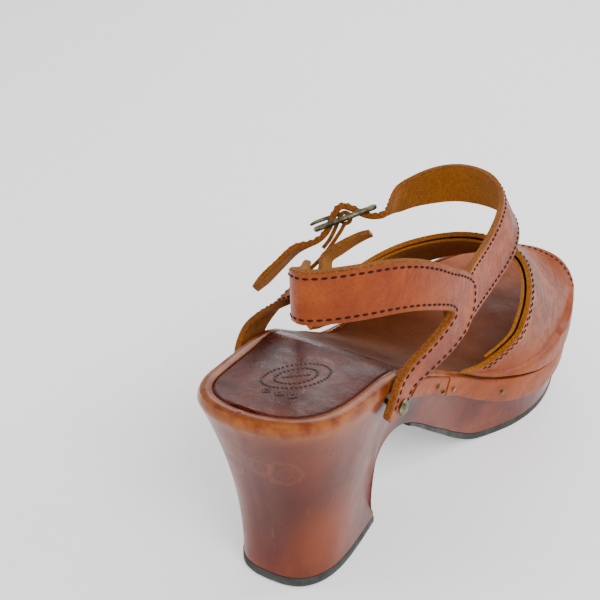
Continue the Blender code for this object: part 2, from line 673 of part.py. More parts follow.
vg = [[vamp_point(i / (NU - 1), j / (NVV - 1)) for j in range(NVV)] for i in range(NU)]
vamp, vn = shell("vamp", vg, VAMP_T, 'tan_leather')

# lining: inside the vamp, proud of its rear edge, ending just above the footbed
lg = []
off = VAMP_T / 2 + GAP + LINING_T / 2 + 0.75
LU, LV = 9, 25
for i in range(LU):
    u = -0.035 + (0.985 + 0.035) * i / (LU - 1)
    row_v = []
    vs = [k / 200 for k in range(201)]
    ok = []
    for v in vs:
        p = vamp_point(u, v)
        if p.z > rim_z(p.y) + 2.6 and (0.08 < v < 0.92):
            ok.append(v)
    v0, v1 = min(ok), max(ok)
    row = []
    for j in range(LV):
        v = v0 + (v1 - v0) * j / (LV - 1)
        e = 0.004
        p = vamp_point(u, v)
        a = vamp_point(u + e, v) - vamp_point(u - e, v)
        b = vamp_point(u, min(v + e, 1)) - vamp_point(u, max(v - e, 0))
        n = a.cross(b).normalized()
        row.append(p - n * off * (1 if vn[5][15].z > 0 else -1))
    lg.append(row)
shell("vamp_lining", lg, LINING_T, 'suede')


# ---------------------------------------------------------------- straps
def strap(name, stations, t, slot='tan_leather', sub=2, origin=None, flip=False, t_list=None):
    # stations: (inner edge, outer edge) triples in mm; rounded rectangular section
    fl = spline([tuple(a) + tuple(b) for a, b in stations], sub)
    tl = None
    if t_list:
        tl = [v[0] for v in spline([(x, 0.0) for x in t_list], sub)]
    I = [Vector(f[:3]) for f in fl]
    O = [Vector(f[3:]) for f in fl]
    C = [(a + b) / 2 for a, b in zip(I, O)]
    loops = []
    n = len(fl)
    for k in range(n):
        w = O[k] - I[k]
        tg = C[min(k + 1, n - 1)] - C[max(k - 1, 0)]
        ti = I[min(k + 1, n - 1)] - I[max(k - 1, 0)]
        to = O[min(k + 1, n - 1)] - O[max(k - 1, 0)]
        tg = ti.normalized() * min(ti.length, 6) + to.normalized() * min(to.length, 6)
        nn = tg.cross(w).normalized()
        if flip:
            nn = -nn
        W = w.length
        wd = w.normalized()
        th = tl[k] if tl else t
        c = min(0.45, th * 0.25)
        h = th / 2
        sec = [(-W / 2, -h + c), (-W / 2 + c, -h), (0, -h), (W / 2 - c, -h), (W / 2, -h + c),
               (W / 2, h - c), (W / 2 - c, h), (0, h), (-W / 2 + c, h), (-W / 2, h - c)]
        loops.append([P(*(C[k] + wd * a + nn * b)) for a, b in sec])
    bm = bmesh.new()
    loft(bm, loops)
    return add_object(name, bm, slot, origin=origin)


fold_origin = P(0, FOLD_AXIS_S, FOLD_AXIS_Z)
quarter = strap("quarter_heel_strap", QUARTER, STRAP_T, origin=fold_origin)

BC = Vector(BUCKLE_C)
BW = Vector(BUCKLE_W).normalized()
BU = Vector(BUCKLE_U)
BU = (BU - BW * BU.dot(BW)).normalized()
BN = BW.cross(BU)
if BN.z < 0:
    BN = -BN


def bk(u, w, n):
    return BC + BU * u + BW * w + BN * n


ins = [(Vector(a), Vector(b)) for a, b in INSTEP]
for u, n in PASSAGE:
    ins.append((bk(u, -STRAP_W_AT_BUCKLE / 2, n), bk(u, STRAP_W_AT_BUCKLE / 2, n)))
for k, (c, w) in enumerate(TAIL):
    wv = Vector(w).normalized()
    hw = STRAP_W_AT_BUCKLE / 2 if k < len(TAIL) - 1 else 3.4
    ins.append((Vector(c) - wv * hw, Vector(c) + wv * hw))
instep = strap("instep_strap", [(tuple(a), tuple(b)) for a, b in ins], INSTEP_T, origin=fold_origin)

strap("buckle_backing_tab", BACKING, 1.8, origin=fold_origin)

# billet: wraps the buckle bar and doubles back on itself
R_WRAP = 1.1 + 0.35 + BILLET_T / 2
bp = [(27.5, -15.6), (20.0, -13.8), (13.0, -10.6), (7.5, -7.0), (3.4, -4.1)]
for a in (-70, -105, -140, -175, -210, -245, -280):
    bp.append((R_WRAP * math.cos(math.radians(a)), R_WRAP * math.sin(math.radians(a))))
bp += [(2.4, 0.6), (5.2, -2.4), (9.0, -5.8), (12.6, -8.0)]
bst = []
for u, n in bp:
    bst.append((tuple(bk(u, -BILLET_W / 2, n)), tuple(bk(u, BILLET_W / 2, n))))
billet = strap("buckle_billet", bst, BILLET_T, sub=2, origin=fold_origin)

# buckle frame: rounded oblong ring with a centre bar
bm = bmesh.new()
ring_pts = []
NRG = 40
hx, hw = BUCKLE_LEN / 2 - BUCKLE_WIRE, BUCKLE_WID / 2 - BUCKLE_WIRE
for k in range(NRG):
    a = 2 * math.pi * k / NRG
    ex = 2 / 3.2
    ring_pts.append((hx * math.copysign(abs(math.cos(a)) ** ex, math.cos(a)),
                     hw * math.copysign(abs(math.sin(a)) ** ex, math.sin(a))))
loops = []
for k in range(NRG):
    a, b = ring_pts[k - 1], ring_pts[(k + 1) % NRG]
    tu, tw = b[0] - a[0], b[1] - a[1]
    L = math.hypot(tu, tw)
    nu, nw = tw / L, -tu / L
    lp = []
    for j in range(8):
        q = 2 * math.pi * (j + 0.5) / 8
        ro = BUCKLE_WIRE * 1.15 * math.cos(q)
        rn = BUCKLE_WIRE * 0.95 * math.sin(q)
        lp.append(P(*bk(ring_pts[k][0] + nu * ro, ring_pts[k][1] + nw * ro, rn)))
    loops.append(lp)
loft(bm, loops, closed=True)
bc_m = P(*BC)
frame_o = add_object("buckle_frame", bm, 'antique_brass', origin=bc_m)
bm = bmesh.new()
cyl_between(bm, P(*bk(0, -hw - 0.2, 0)), P(*bk(0, hw + 0.2, 0)), 1.1 * MM, seg=16)
bar = add_object("cut_bar", bm, None, collection=cutcol)
boolean(frame_o, bar, 'UNION')

# prong: ring around the bar and a tongue resting over the frame end
bm = bmesh.new()
pl = []
pr = 1.1 + 0.3 + 0.75
pw = 0.95
path = []
for a in (-20, -60, -100, -140, -180, -220, -255):
    path.append((pr * math.cos(math.radians(a)), pr * math.sin(math.radians(a)), 0.75))
path += [(1.6, 2.35, 0.8), (4.4, 2.55, 0.85), (8.4, 2.75, 0.85), (12.2, 2.75, 0.8), (14.2, 2.45, 0.55)]
for k, (u, n, r) in enumerate(path):
    a = path[max(k - 1, 0)]
    b = path[min(k + 1, len(path) - 1)]
    tu, tn = b[0] - a[0], b[1] - a[1]
    L = math.hypot(tu, tn)
    ou, on = tn / L, -tu / L
    lp = []
    for j in range(8):
        q = 2 * math.pi * (j + 0.5) / 8
        lp.append(P(*bk(u + ou * r * math.cos(q), pw * (r / 0.75) * math.sin(q), n + on * r * math.cos(q))))
    pl.append(lp)
loft(bm, pl)
prong = add_object("buckle_prong", bm, 'antique_brass', origin=bc_m)


def box_cutter(name, u0, u1, w0, w1, n0, n1):
    bm = bmesh.new()
    vs = [bm.verts.new(P(*bk(u, w, n))) for u in (u0, u1) for w in (w0, w1) for n in (n0, n1)]
    for f in ((0, 1, 3, 2), (4, 6, 7, 5), (0, 4, 5, 1), (2, 3, 7, 6), (0, 2, 6, 4), (1, 5, 7, 3)):
        bm.faces.new([vs[i] for i in f])
    return add_object(name, bm, None, collection=cutcol)


boolean(instep, box_cutter("cut_strap_hole", 1.2, 8.6, -1.9, 1.9, -4.5, 7.5))
boolean(billet, box_cutter("cut_billet_slot", -5.5, 3.9, -2.0, 2.0, -6.4, 5.0))


# ---------------------------------------------------------------- tacks and nails
def tack(name, base, axis, head_r, head_h, shank_r, shank_l, slot='antique_brass', seg=14, lift=0.12):
    prof = [(0, head_h + lift), (head_r * 0.45, head_h * 0.93 + lift), (head_r * 0.8, head_h * 0.62 + lift),
            (head_r, head_h * 0.2 + lift), (head_r * 0.97, lift), (shank_r, lift),
            (shank_r, -shank_l + shank_r * 2), (0, -shank_l)]
    return revolved(name, prof, base, axis, slot, seg=seg)


hole_specs = []


def hole(bm, base, axis, r, depth, lead=4.0):
    cyl_between(bm, base + axis * lead * MM, base - axis * depth * MM, r * MM, seg=14)


cut_w = bmesh.new()
cut_q = bmesh.new()
cut_r = {'rand_forepart': bmesh.new(), 'rand_waist_medial': bmesh.new(), 'rand_waist_lateral': bmesh.new()}

for side, nm in ((-1, "medial"), (1, "lateral")):
    # dome tack through the strap end into the side of the sole
    xq = -29.3 if side < 0 else 30.6
    base = P(xq + side * (STRAP_T / 2 + 0.8), TACK_S, TACK_Z)
    ax = Vector((side, 0, 0))
    tack("strap_tack_" + nm, base, ax, 3.1, 1.5, 1.0, 12.5)
    hole(cut_w, base, ax, 1.25, 13.5, lead=2)
    hole(cut_q, base, ax, 1.35, 4.6, lead=3)

rand_tacks = [(-1, 96.0, 'rand_waist_medial', 0.50), (-1, 102.0, 'rand_waist_medial', 0.82),
              (-1, 109.0, 'rand_forepart', 0.62), (-1, 139.5, 'rand_forepart', 0.55),
              (1, 96.0, 'rand_waist_lateral', 0.50), (1, 102.0, 'rand_waist_lateral', 0.82),
              (1, 109.0, 'rand_forepart', 0.62), (1, 139.5, 'rand_forepart', 0.55)]
for k, (side, s, piece, q) in enumerate(rand_tacks):
    zt, zb = tab(RAND_TOP, s), tab(RAND_BOTTOM, s)
    z = zt + (zb - zt) * q
    p, n = wood_edge(side, s, z)
    th = RAND_T if piece == 'rand_forepart' else 1.9
    d = GAP + th
    pu, _ = wood_edge(side, s, z + 2.0)
    pd, _ = wood_edge(side, s, z - 2.0)
    k3 = ((pu[0] - pd[0]) * n[0] + (pu[1] - pd[1]) * n[1]) / 4.0
    d += 0.35
    base = P(p[0] + n[0] * d, p[1] + n[1] * d, z)
    ax = Vector((n[0], -n[1], -k3)).normalized()
    nm = "rand_tack_%s_%d" % ("medial" if side < 0 else "lateral", k % 4 + 1)
    tack(nm, base, ax, 1.15, 0.5, 0.55, 8.0, seg=10)
    hole(cut_w, base, ax, 0.8, 9.0, lead=1)
    hole(cut_r[piece], base, ax, 0.8, 5.0, lead=2)

nail_xy = [(-9.5, 31.0), (9.0, 31.0), (-9.5, 56.0), (9.0, 56.0)]
cut_l = bmesh.new()
for k, (x, s) in enumerate(nail_xy):
    base = P(x, s, 0.6)
    prof = [(0, 0.1), (1.9, 0.1), (2.0, -0.1), (1.95, -0.8), (0.85, -1.1), (0.85, -12.5), (0, -14.5)]
    revolved("lift_nail_%d" % (k + 1), prof, base, Vector((0, 0, -1)), 'antique_brass', seg=12)
    cyl_between(cut_l, P(x, s, -1.0), P(x, s, 2.0), 2.3 * MM, seg=14)
    cyl_between(cut_l, P(x, s, 1.6), P(x, s, 6.0), 1.15 * MM, seg=14)
    cyl_between(cut_w, P(x, s, 2.0), P(x, s, 16.2), 1.15 * MM, seg=14)

cw = add_object("cut_wood_holes", cut_w, None, collection=cutcol)
boolean(wood, cw)
cq = add_object("cut_strap_holes", cut_q, None, collection=cutcol)
boolean(quarter, cq)
for nm, b in cut_r.items():
    c = add_object("cut_" + nm, b, None, collection=cutcol)
    boolean(bpy.data.objects[nm], c)
# the lift holes are stepped, so cut them in two passes
bm_a, bm_b = bmesh.new(), bmesh.new()
for x, s in nail_xy:
    cyl_between(bm_a, P(x, s, -1.0), P(x, s, 1.9), 2.3 * MM, seg=14)
    cyl_between(bm_b, P(x, s, -1.0), P(x, s, 6.0), 1.15 * MM, seg=14)
cut_l.free()
ca = add_object("cut_lift_heads", bm_a, None, collection=cutcol)
cb = add_object("cut_lift_shanks", bm_b, None, collection=cutcol)
boolean(lift, ca)
boolean(lift, cb)

# ---------------------------------------------------------------- centre on the ground
bpy.context.view_layer.update()
lo = Vector((1e9, 1e9, 1e9))
hi = -lo
depsgraph = bpy.context.evaluated_depsgraph_get()
for o in col.objects:
    for v in o.evaluated_get(depsgraph).data.vertices:
        p = o.matrix_world @ v.co
        lo = Vector(map(min, lo, p))
        hi = Vector(map(max, hi, p))
shift = Vector((-(lo.x + hi.x) / 2, -(lo.y + hi.y) / 2, -lo.z))
for o in list(col.objects) + list(cutcol.objects):
    o.location += shift
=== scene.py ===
import bpy, bmesh, math, json
from mathutils import Vector, Matrix

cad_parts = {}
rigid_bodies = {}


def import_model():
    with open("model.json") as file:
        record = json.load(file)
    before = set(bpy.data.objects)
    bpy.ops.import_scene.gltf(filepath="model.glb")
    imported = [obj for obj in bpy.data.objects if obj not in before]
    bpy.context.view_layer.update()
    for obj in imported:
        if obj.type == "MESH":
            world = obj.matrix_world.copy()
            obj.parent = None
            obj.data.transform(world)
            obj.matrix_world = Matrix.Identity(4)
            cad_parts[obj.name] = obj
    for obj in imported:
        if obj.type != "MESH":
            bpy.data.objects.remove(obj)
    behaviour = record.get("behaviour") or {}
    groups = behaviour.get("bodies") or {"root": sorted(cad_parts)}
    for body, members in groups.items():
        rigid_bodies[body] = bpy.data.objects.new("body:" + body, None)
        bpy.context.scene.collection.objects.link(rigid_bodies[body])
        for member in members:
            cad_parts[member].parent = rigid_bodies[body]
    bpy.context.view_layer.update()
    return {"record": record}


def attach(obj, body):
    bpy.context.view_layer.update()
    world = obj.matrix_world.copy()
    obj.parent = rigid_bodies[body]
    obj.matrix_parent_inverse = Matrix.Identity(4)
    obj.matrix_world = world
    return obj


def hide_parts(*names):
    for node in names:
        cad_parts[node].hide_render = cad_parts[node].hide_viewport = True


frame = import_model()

MM = 0.001
GAP = 0.30

# ---------------------------------------------------------------- dimensions
# Sole stations: rim (s, x medial, x lateral, z) and bottom edge (s, x medial, x lateral, z).
SOLE = [
    ((0.0, 0.0, 0.0, 80.2), (19.6, 0.0, 0.0, 4.5)),
    ((1.2, 8.2, 8.0, 80.0), (20.2, 6.8, 6.2, 4.5)),
    ((4.2, 15.0, 14.6, 79.5), (22.4, 12.0, 11.0, 4.5)),
    ((10.0, 21.2, 20.6, 78.6), (27.0, 16.0, 14.8, 4.5)),
    ((19.0, 25.4, 24.8, 77.2), (33.5, 18.4, 17.1, 4.5)),
    ((31.0, 27.3, 26.8, 75.6), (42.5, 19.1, 17.7, 4.5)),
    ((44.0, 28.0, 27.8, 74.6), (54.0, 18.5, 17.3, 4.5)),
    ((53.0, 28.1, 28.5, 74.1), (66.0, 17.4, 16.6, 4.5)),
    ((56.5, 28.05, 28.7, 73.6), (62.8, 18.0, 17.3, 10.5)),
    ((59.0, 28.0, 28.9, 73.2), (60.8, 18.8, 18.2, 17.8)),
    ((60.8, 28.0, 29.1, 72.8), (60.2, 19.4, 19.0, 25.6)),
    ((63.0, 27.9, 29.4, 72.2), (61.2, 19.8, 19.7, 33.4)),
    ((69.0, 27.3, 30.1, 69.8), (66.0, 20.0, 20.4, 38.2)),
    ((77.0, 26.6, 31.1, 65.3), (74.5, 20.3, 21.2, 39.6)),
    ((87.0, 26.1, 32.3, 59.6), (84.0, 20.8, 22.2, 37.0)),
    ((95.0, 25.9, 33.1, 55.4), (94.0, 21.6, 23.5, 31.4)),
    ((105.0, 26.1, 34.3, 49.8), (104.5, 22.4, 25.2, 24.0)),
    ((115.0, 27.4, 35.8, 44.3), (115.0, 23.3, 27.2, 17.0)),
    ((125.0, 30.6, 37.8, 39.4), (125.0, 25.2, 29.6, 10.3)),
    ((136.0, 35.4, 39.8, 35.6), (136.0, 28.6, 32.8, 4.6)),
    ((146.0, 39.2, 41.2, 33.4), (145.5, 33.0, 35.8, 3.4)),
    ((157.0, 42.0, 41.8, 32.7), (156.0, 37.8, 38.4, 3.3)),
    ((169.0, 43.8, 41.4, 33.2), (168.0, 41.0, 39.4, 3.3)),
    ((182.0, 44.4, 39.4, 34.8), (181.0, 42.4, 38.0, 4.3)),
    ((195.0, 43.2, 35.8, 36.8), (194.0, 41.4, 34.6, 6.9)),
    ((207.0, 39.8, 30.6, 38.9), (205.6, 38.2, 29.4, 9.9)),
    ((217.0, 35.0, 24.6, 40.8), (215.0, 33.6, 23.4, 12.6)),
    ((226.0, 28.0, 16.8, 42.6), (223.6, 26.8, 15.8, 15.1)),
    ((232.5, 20.4, 8.8, 43.9), (229.8, 19.6, 8.0, 16.9)),
    ((236.6, 13.2, 0.4, 44.8), (233.6, 12.7, 0.0, 18.0)),
    ((238.0, 6.5, -6.5, 45.1), (235.0, 6.5, -6.5, 18.4)),
]
FLARE_HEEL, FLARE_TOE = 1.9, 1.0          # concavity of the side below the rim
RIM_INSET = [(0, 5.0), (48, 5.0), (80, 3.2), (238, 3.0)]
RECESS = 1.8                              # depth of the seat for the footbed leathers
PAD_SPLIT = 68.0                          # s where the heel pad meets the fore sock
LIFT_T = 4.2
OUTSOLE_FROM = 86.0
OUTSOLE_T = [(86, 1.5), (125, 3.0), (238, 3.0)]

RAND_FROM, RAND_T = 104.6, 2.2
RAND_TOP = [(70, 64.5), (84, 58.6), (95, 53.0), (104, 48.6), (115, 43.4), (125, 38.2), (136, 34.0), (147, 30.6),
            (160, 27.0), (170, 25.2), (182, 24.6), (195, 25.6), (203, 28.5), (209, 33.5),
            (215, 37.6), (226, 40.4), (238, 42.6)]
RAND_BOTTOM = [(70, 56.5), (84, 50.5), (95, 45.0), (104, 40.0), (115, 34.6), (125, 28.6), (136, 22.8),
               (147, 18.4), (160, 15.2), (170, 14.2), (182, 14.4), (195, 16.2), (207, 19.0),
               (217, 21.6), (226, 24.2), (238, 27.0)]
WAIST_FROM = 77.0

VAMP_T, LINING_T = 2.0, 1.0
VAMP_ROOT = (113.5, 112.5)                # s of the rear corners, medial and lateral
VAMP_TOE = (213.0, 199.0)                 # s of the front corners
VAMP_REAR = [(-32.6, 122.5, 45.2), (-37.0, 128.5, 48.8), (-40.4, 131.5, 53.0), (-42.4, 135.0, 56.4),
             (-42.8, 139.0, 60.6), (-42.2, 144.5, 65.6), (-40.4, 150.0, 69.4), (-37.0, 156.5, 72.6),
             (-31.0, 164.5, 74.6), (-22.0, 169.5, 76.8), (-11.0, 171.0, 77.2), (-1.0, 171.5, 75.6),
             (8.0, 170.5, 73.0), (16.0, 168.0, 70.2), (24.0, 164.5, 66.6), (31.0, 158.5, 62.6),
             (36.5, 148.0, 58.6), (40.0, 136.0, 54.8), (41.6, 124.0, 50.8), (41.0, 116.0, 46.4)]
VAMP_FRONT = [(-39.6, 214.6, 39.5), (-37.0, 217.0, 46.0), (-31.5, 217.0, 52.2), (-24.0, 213.0, 56.8),
              (-16.0, 208.0, 59.0), (-7.0, 204.5, 58.9), (1.0, 203.0, 57.2), (10.0, 201.0, 54.6),
              (19.0, 199.0, 51.4), (26.5, 197.0, 47.8), (32.0, 196.5, 43.0), (36.0, 197.5, 36.0)]

STRAP_T = 2.8
# Each station is (inner edge, outer edge, thickness centre); inner edge faces the heel opening.
QUARTER = [
    ((-28.3, 50.6, 59.6), (-28.3, 56.2, 58.6)),
    ((-28.9, 48.4, 62.2), (-28.9, 59.8, 60.4)),
    ((-29.9, 48.2, 66.4), (-29.7, 61.6, 63.2)),
    ((-30.5, 49.6, 71.2), (-30.3, 62.6, 66.2)),
    ((-30.9, 52.4, 76.0), (-31.4, 65.0, 68.6)),
    ((-32.4, 57.2, 80.6), (-33.6, 69.0, 71.0)),
    ((-35.0, 62.6, 84.6), (-36.0, 74.6, 74.2)),
    ((-37.2, 67.4, 88.6), (-38.0, 80.4, 77.4)),
    ((-38.4, 71.2, 91.4), (-39.4, 86.6, 82.0)),
    ((-38.9, 73.0, 93.2), (-39.6, 91.4, 89.6)),
    ((-38.9, 72.4, 94.8), (-39.2, 90.6, 98.6)),
    ((-38.8, 69.6, 96.4), (-38.8, 82.6, 105.4)),
    ((-38.3, 65.6, 98.2), (-38.3, 71.6, 111.4)),
    ((-37.0, 59.0, 101.0), (-37.0, 60.2, 117.6)),
    ((-34.6, 51.0, 103.8), (-34.6, 50.0, 122.0)),
    ((-31.0, 43.4, 105.2), (-31.0, 42.0, 124.0)),
    ((-26.4, 36.2, 105.6), (-26.4, 34.6, 124.6)),
    ((-20.8, 30.2, 105.4), (-20.8, 28.4, 124.4)),
    ((-15.4, 26.0, 105.0), (-15.6, 24.2, 124.0)),
    ((-10.6, 24.0, 104.6), (-11.0, 22.2, 123.6)),
    ((-6.6, 26.4, 103.4), (-6.8, 24.6, 122.4)),
    ((-3.6, 32.2, 100.8), (-3.8, 30.4, 119.6)),
    ((1.4, 42.6, 95.8), (1.2, 40.8, 114.0)),
    ((8.8, 56.0, 88.8), (8.6, 54.6, 106.4)),
    ((17.0, 70.6, 81.0), (16.8, 70.4, 98.0)),
    ((24.4, 82.4, 74.2), (24.0, 83.6, 91.0)),
    ((28.2, 87.6, 71.2), (28.2, 92.6, 88.0)),
    ((29.8, 88.0, 71.6), (32.0, 99.6, 83.6)),
    ((30.2, 84.8, 73.4), (34.2, 99.0, 77.2)),
    ((29.9, 78.4, 75.6), (35.0, 92.0, 73.6)),
    ((29.5, 70.0, 77.6), (34.6, 82.6, 72.0)),
    ((29.8, 61.6, 78.6), (33.6, 73.8, 70.8)),
    ((30.6, 54.6, 77.2), (32.4, 67.2, 69.0)),
    ((31.3, 50.6, 72.4), (31.8, 63.6, 66.4)),
    ((31.2, 48.6, 67.0), (31.2, 61.8, 63.2)),
    ((30.4, 48.6, 62.4), (30.4, 60.0, 60.4)),
    ((29.8, 50.8, 59.6), (29.8, 56.4, 58.6)),
]
TACK_S, TACK_Z = 55.6, 63.4
FOLD_AXIS_S, FOLD_AXIS_Z = TACK_S, TACK_Z

# Buckle: centre, direction along the strap, direction of the bar.
BUCKLE_C = (33.0, 131.0, 90.0)
BUCKLE_U = (0.713, -0.622, -0.327)
BUCKLE_W = (0.430, 0.810, -0.405)
BUCKLE_LEN, BUCKLE_WID, BUCKLE_WIRE = 27.0, 24.0, 1.25

INSTEP_T = 2.4
INSTEP = [   # (rear/top edge, front/bottom edge) on the medial side and over the instep
    ((-34.8, 76.6, 97.4), (-34.9, 80.2, 86.4)),
    ((-35.3, 82.6, 99.2), (-35.6, 85.2, 80.2)),
    ((-35.2, 91.0, 98.8), (-36.6, 93.4, 79.2)),
    ((-34.0, 101.6, 99.8), (-36.2, 106.6, 80.6)),
    ((-33.2, 112.0, 101.2), (-36.0, 119.6, 82.8)),
    ((-32.2, 122.6, 103.4), (-36.2, 131.0, 85.6)),
    ((-30.6, 132.6, 105.8), (-35.4, 141.6, 88.8)),
    ((-27.6, 142.6, 107.8), (-32.2, 151.6, 92.0)),
    ((-22.6, 151.4, 109.4), (-26.4, 159.4, 93.8)),
    ((-15.6, 158.6, 110.2), (-18.0, 164.8, 93.6)),
    ((-7.4, 162.6, 110.0), (-8.6, 167.6, 92.9)),
    ((0.8, 163.4, 109.0), (0.8, 167.6, 91.9)),
    ((8.4, 160.4, 107.0), (9.6, 165.0, 90.0)),
    ((14.2, 154.6, 104.2), (16.8, 161.0, 88.2)),
    ((18.2, 147.6, 100.8), (22.2, 156.4, 86.2)),
]
STRAP_W_AT_BUCKLE = 15.6
# passage through the buckle: (u along strap, n above the buckle plane)
PASSAGE = [(-15.5, -4.2), (-11.2, -3.6), (-7.4, -1.2), (-4.4, 2.2), (0.0, 5.0), (4.4, 2.2), (7.4, -1.2),
           (11.2, -3.7), (15.5, -4.6)]
TAIL = [   # centre, half-width direction handled by the buckle axis blending to this
    ((47.2, 116.4, 78.6), (0.36, 0.78, -0.51)),
    ((51.4, 110.4, 73.0), (0.34, 0.78, -0.53)),
    ((55.2, 105.0, 67.6), (0.32, 0.78, -0.54)),
    ((57.6, 101.6, 64.0), (0.32, 0.78, -0.54)),
]
BACKING = [  # buckle backing tab: (upper edge, lower edge)
    ((24.6, 92.0, 81.0), (24.8, 97.6, 74.6)),
    ((26.6, 99.6, 82.6), (27.8, 110.0, 75.6)),
    ((29.4, 106.4, 84.2), (31.2, 117.2, 77.2)),
    ((27.6, 113.0, 86.2), (29.2, 123.0, 79.0)),
    ((25.0, 119.0, 87.6), (26.8, 128.6, 81.0)),
    ((22.2, 124.0, 88.6), (23.8, 132.8, 83.0)),
    ((20.4, 128.0, 88.4), (21.2, 133.2, 84.6)),
]
BILLET_W = 13.0
BILLET_T = 1.6

COLORS = {
    'stained_wood': (0.30, 0.085, 0.045), 'tan_leather': (0.50, 0.20, 0.08), 'suede': (0.48, 0.26, 0.07),
    'pad_leather': (0.16, 0.035, 0.02), 'sock_leather': (0.48, 0.27, 0.16), 'black_rubber': (0.03, 0.03, 0.03),
    'antique_brass': (0.30, 0.26, 0.16),
}

# ---------------------------------------------------------------- fine shapes
SHIFT = Vector((-0.006112, 0.120155, 0.0))
col = bpy.data.collections.new("clog_looks")
bpy.context.scene.collection.children.link(col)
cutcol = bpy.data.collections.new("clog_cutters")
bpy.context.scene.collection.children.link(cutcol)
FINE = {}
STRAPS = {}
MATS = {}


def mat(name, slot):
    m = bpy.data.materials.new(name + "_mat")
    m.use_nodes = True
    b = m.node_tree.nodes["Principled BSDF"]
    b.inputs["Base Color"].default_value = (*COLORS[slot], 1.0)
    b.inputs["Roughness"].default_value = 0.5
    if slot == 'antique_brass':
        b.inputs["Metallic"].default_value = 1.0
    return m


def P(x, s, z):
    return Vector((x * MM, -s * MM, z * MM))


def tab(table, s):
    if s <= table[0][0]:
        return table[0][1]
    for a, b in zip(table[:-1], table[1:]):
        if s <= b[0]:
            t = (s - a[0]) / (b[0] - a[0])
            return a[1] + (b[1] - a[1]) * t
    return table[-1][1]


def catmull(p0, p1, p2, p3, t):
    # centripetal Catmull-Rom through p1..p2
    def knot(a, b):
        d = math.sqrt(sum((x - y) ** 2 for x, y in zip(a, b)))
        return max(d, 1e-6) ** 0.5
    t0 = 0.0
    t1 = t0 + knot(p0, p1)
    t2 = t1 + knot(p1, p2)
    t3 = t2 + knot(p2, p3)
    x = t1 + (t2 - t1) * t

    def mix(a, b, ta, tb):
        return tuple(((tb - x) * u + (x - ta) * v) / (tb - ta) for u, v in zip(a, b))
    a1, a2, a3 = mix(p0, p1, t0, t1), mix(p1, p2, t1, t2), mix(p2, p3, t2, t3)
    b1, b2 = mix(a1, a2, t0, t2), mix(a2, a3, t1, t3)
    return mix(b1, b2, t1, t2)


def spline(pts, sub, keep_last=True):
    # pts: list of flat tuples; returns refined list
    out = []
    n = len(pts)
    for i in range(n - 1):
        a = pts[i - 1] if i > 0 else tuple(2 * u - v for u, v in zip(pts[0], pts[1]))
        d = pts[i + 2] if i + 2 < n else tuple(2 * u - v for u, v in zip(pts[-1], pts[-2]))
        for k in range(sub):
            out.append(catmull(a, pts[i], pts[i + 1], d, k / sub) if k else tuple(pts[i]))
    if keep_last:
        out.append(tuple(pts[-1]))
    return out


def resample(pts, n):
    # equal arc length, pts are 3-tuples
    L = [0.0]
    for a, b in zip(pts[:-1], pts[1:]):
        L.append(L[-1] + math.dist(a, b))
    out = []
    j = 0
    for k in range(n):
        d = L[-1] * k / (n - 1)
        while j < len(L) - 2 and L[j + 1] < d:
            j += 1
        t = (d - L[j]) / max(L[j + 1] - L[j], 1e-9)
        out.append(tuple(a + (b - a) * min(max(t, 0), 1) for a, b in zip(pts[j], pts[j + 1])))
    return out


def add_object(name, bm, slot, origin=None, collection=None, smooth=True):
    bmesh.ops.remove_doubles(bm, verts=bm.verts, dist=2e-6)
    bmesh.ops.triangulate(bm, faces=[f for f in bm.faces if len(f.verts) > 4])
    bmesh.ops.recalc_face_normals(bm, faces=bm.faces)
    me = bpy.data.meshes.new('look_' + name)
    if origin is not None:
        bmesh.ops.translate(bm, verts=bm.verts, vec=-origin)
    bm.to_mesh(me)
    bm.free()
    o = bpy.data.objects.new('look_' + name, me)
    (collection or col).objects.link(o)
    for p in me.polygons:
        p.use_smooth = True
    me.set_sharp_from_angle(angle=math.radians(38))
    if collection is None:
        FINE[name] = o
    else:
        o.hide_render = True
    if origin is not None:
        o.location = origin
    if slot:
        pass
    return o


def loft(bm, loops, close_ends=True, closed=False):
    # loops: list of equal-length closed loops of Vectors
    rows = [[bm.verts.new(p) for p in lp] for lp in loops]
    n = len(rows[0])
    m = len(rows)
    for i in range(m if closed else m - 1):
        a, b = rows[i], rows[(i + 1) % m]
        for k in range(n):
            bm.faces.new((a[k], a[(k + 1) % n], b[(k + 1) % n], b[k]))
    if close_ends and not closed:
        bm.faces.new(list(reversed(rows[0])))
        bm.faces.new(rows[-1])
    return rows


def boolean(target, cutter, op='DIFFERENCE'):
    md = target.modifiers.new("cut", 'BOOLEAN')
    md.operation = op
    md.solver = 'EXACT'
    md.object = cutter
    cutter.hide_render = True
    cutter.display_type = 'WIRE'
    dg = bpy.context.evaluated_depsgraph_get()
    me = bpy.data.meshes.new_from_object(target.evaluated_get(dg))
    target.modifiers.clear()
    old = target.data
    mats = [m for m in old.materials]
    target.data = me
    if not me.materials:
        for m in mats:
            me.materials.append(m)
    me.name = target.name + '_cut'
    bm = bmesh.new()
    bm.from_mesh(me)
    bmesh.ops.remove_doubles(bm, verts=bm.verts, dist=2e-6)
    bmesh.ops.dissolve_degenerate(bm, dist=1e-6, edges=bm.edges)
    bmesh.ops.triangulate(bm, faces=[f for f in bm.faces if len(f.verts) > 4])
    bm.to_mesh(me)
    bm.free()
    for p in me.polygons:
        p.use_smooth = True
    me.set_sharp_from_angle(angle=math.radians(38))


def cyl_between(bm, a, b, r, seg=16, r2=None):
    d = b - a
    mtx = Matrix.Translation((a + b) / 2) @ d.to_track_quat('Z', 'Y').to_matrix().to_4x4()
    bmesh.ops.create_cone(bm, cap_ends=True, segments=seg, radius1=r, radius2=r if r2 is None else r2,
                          depth=d.length, matrix=mtx)


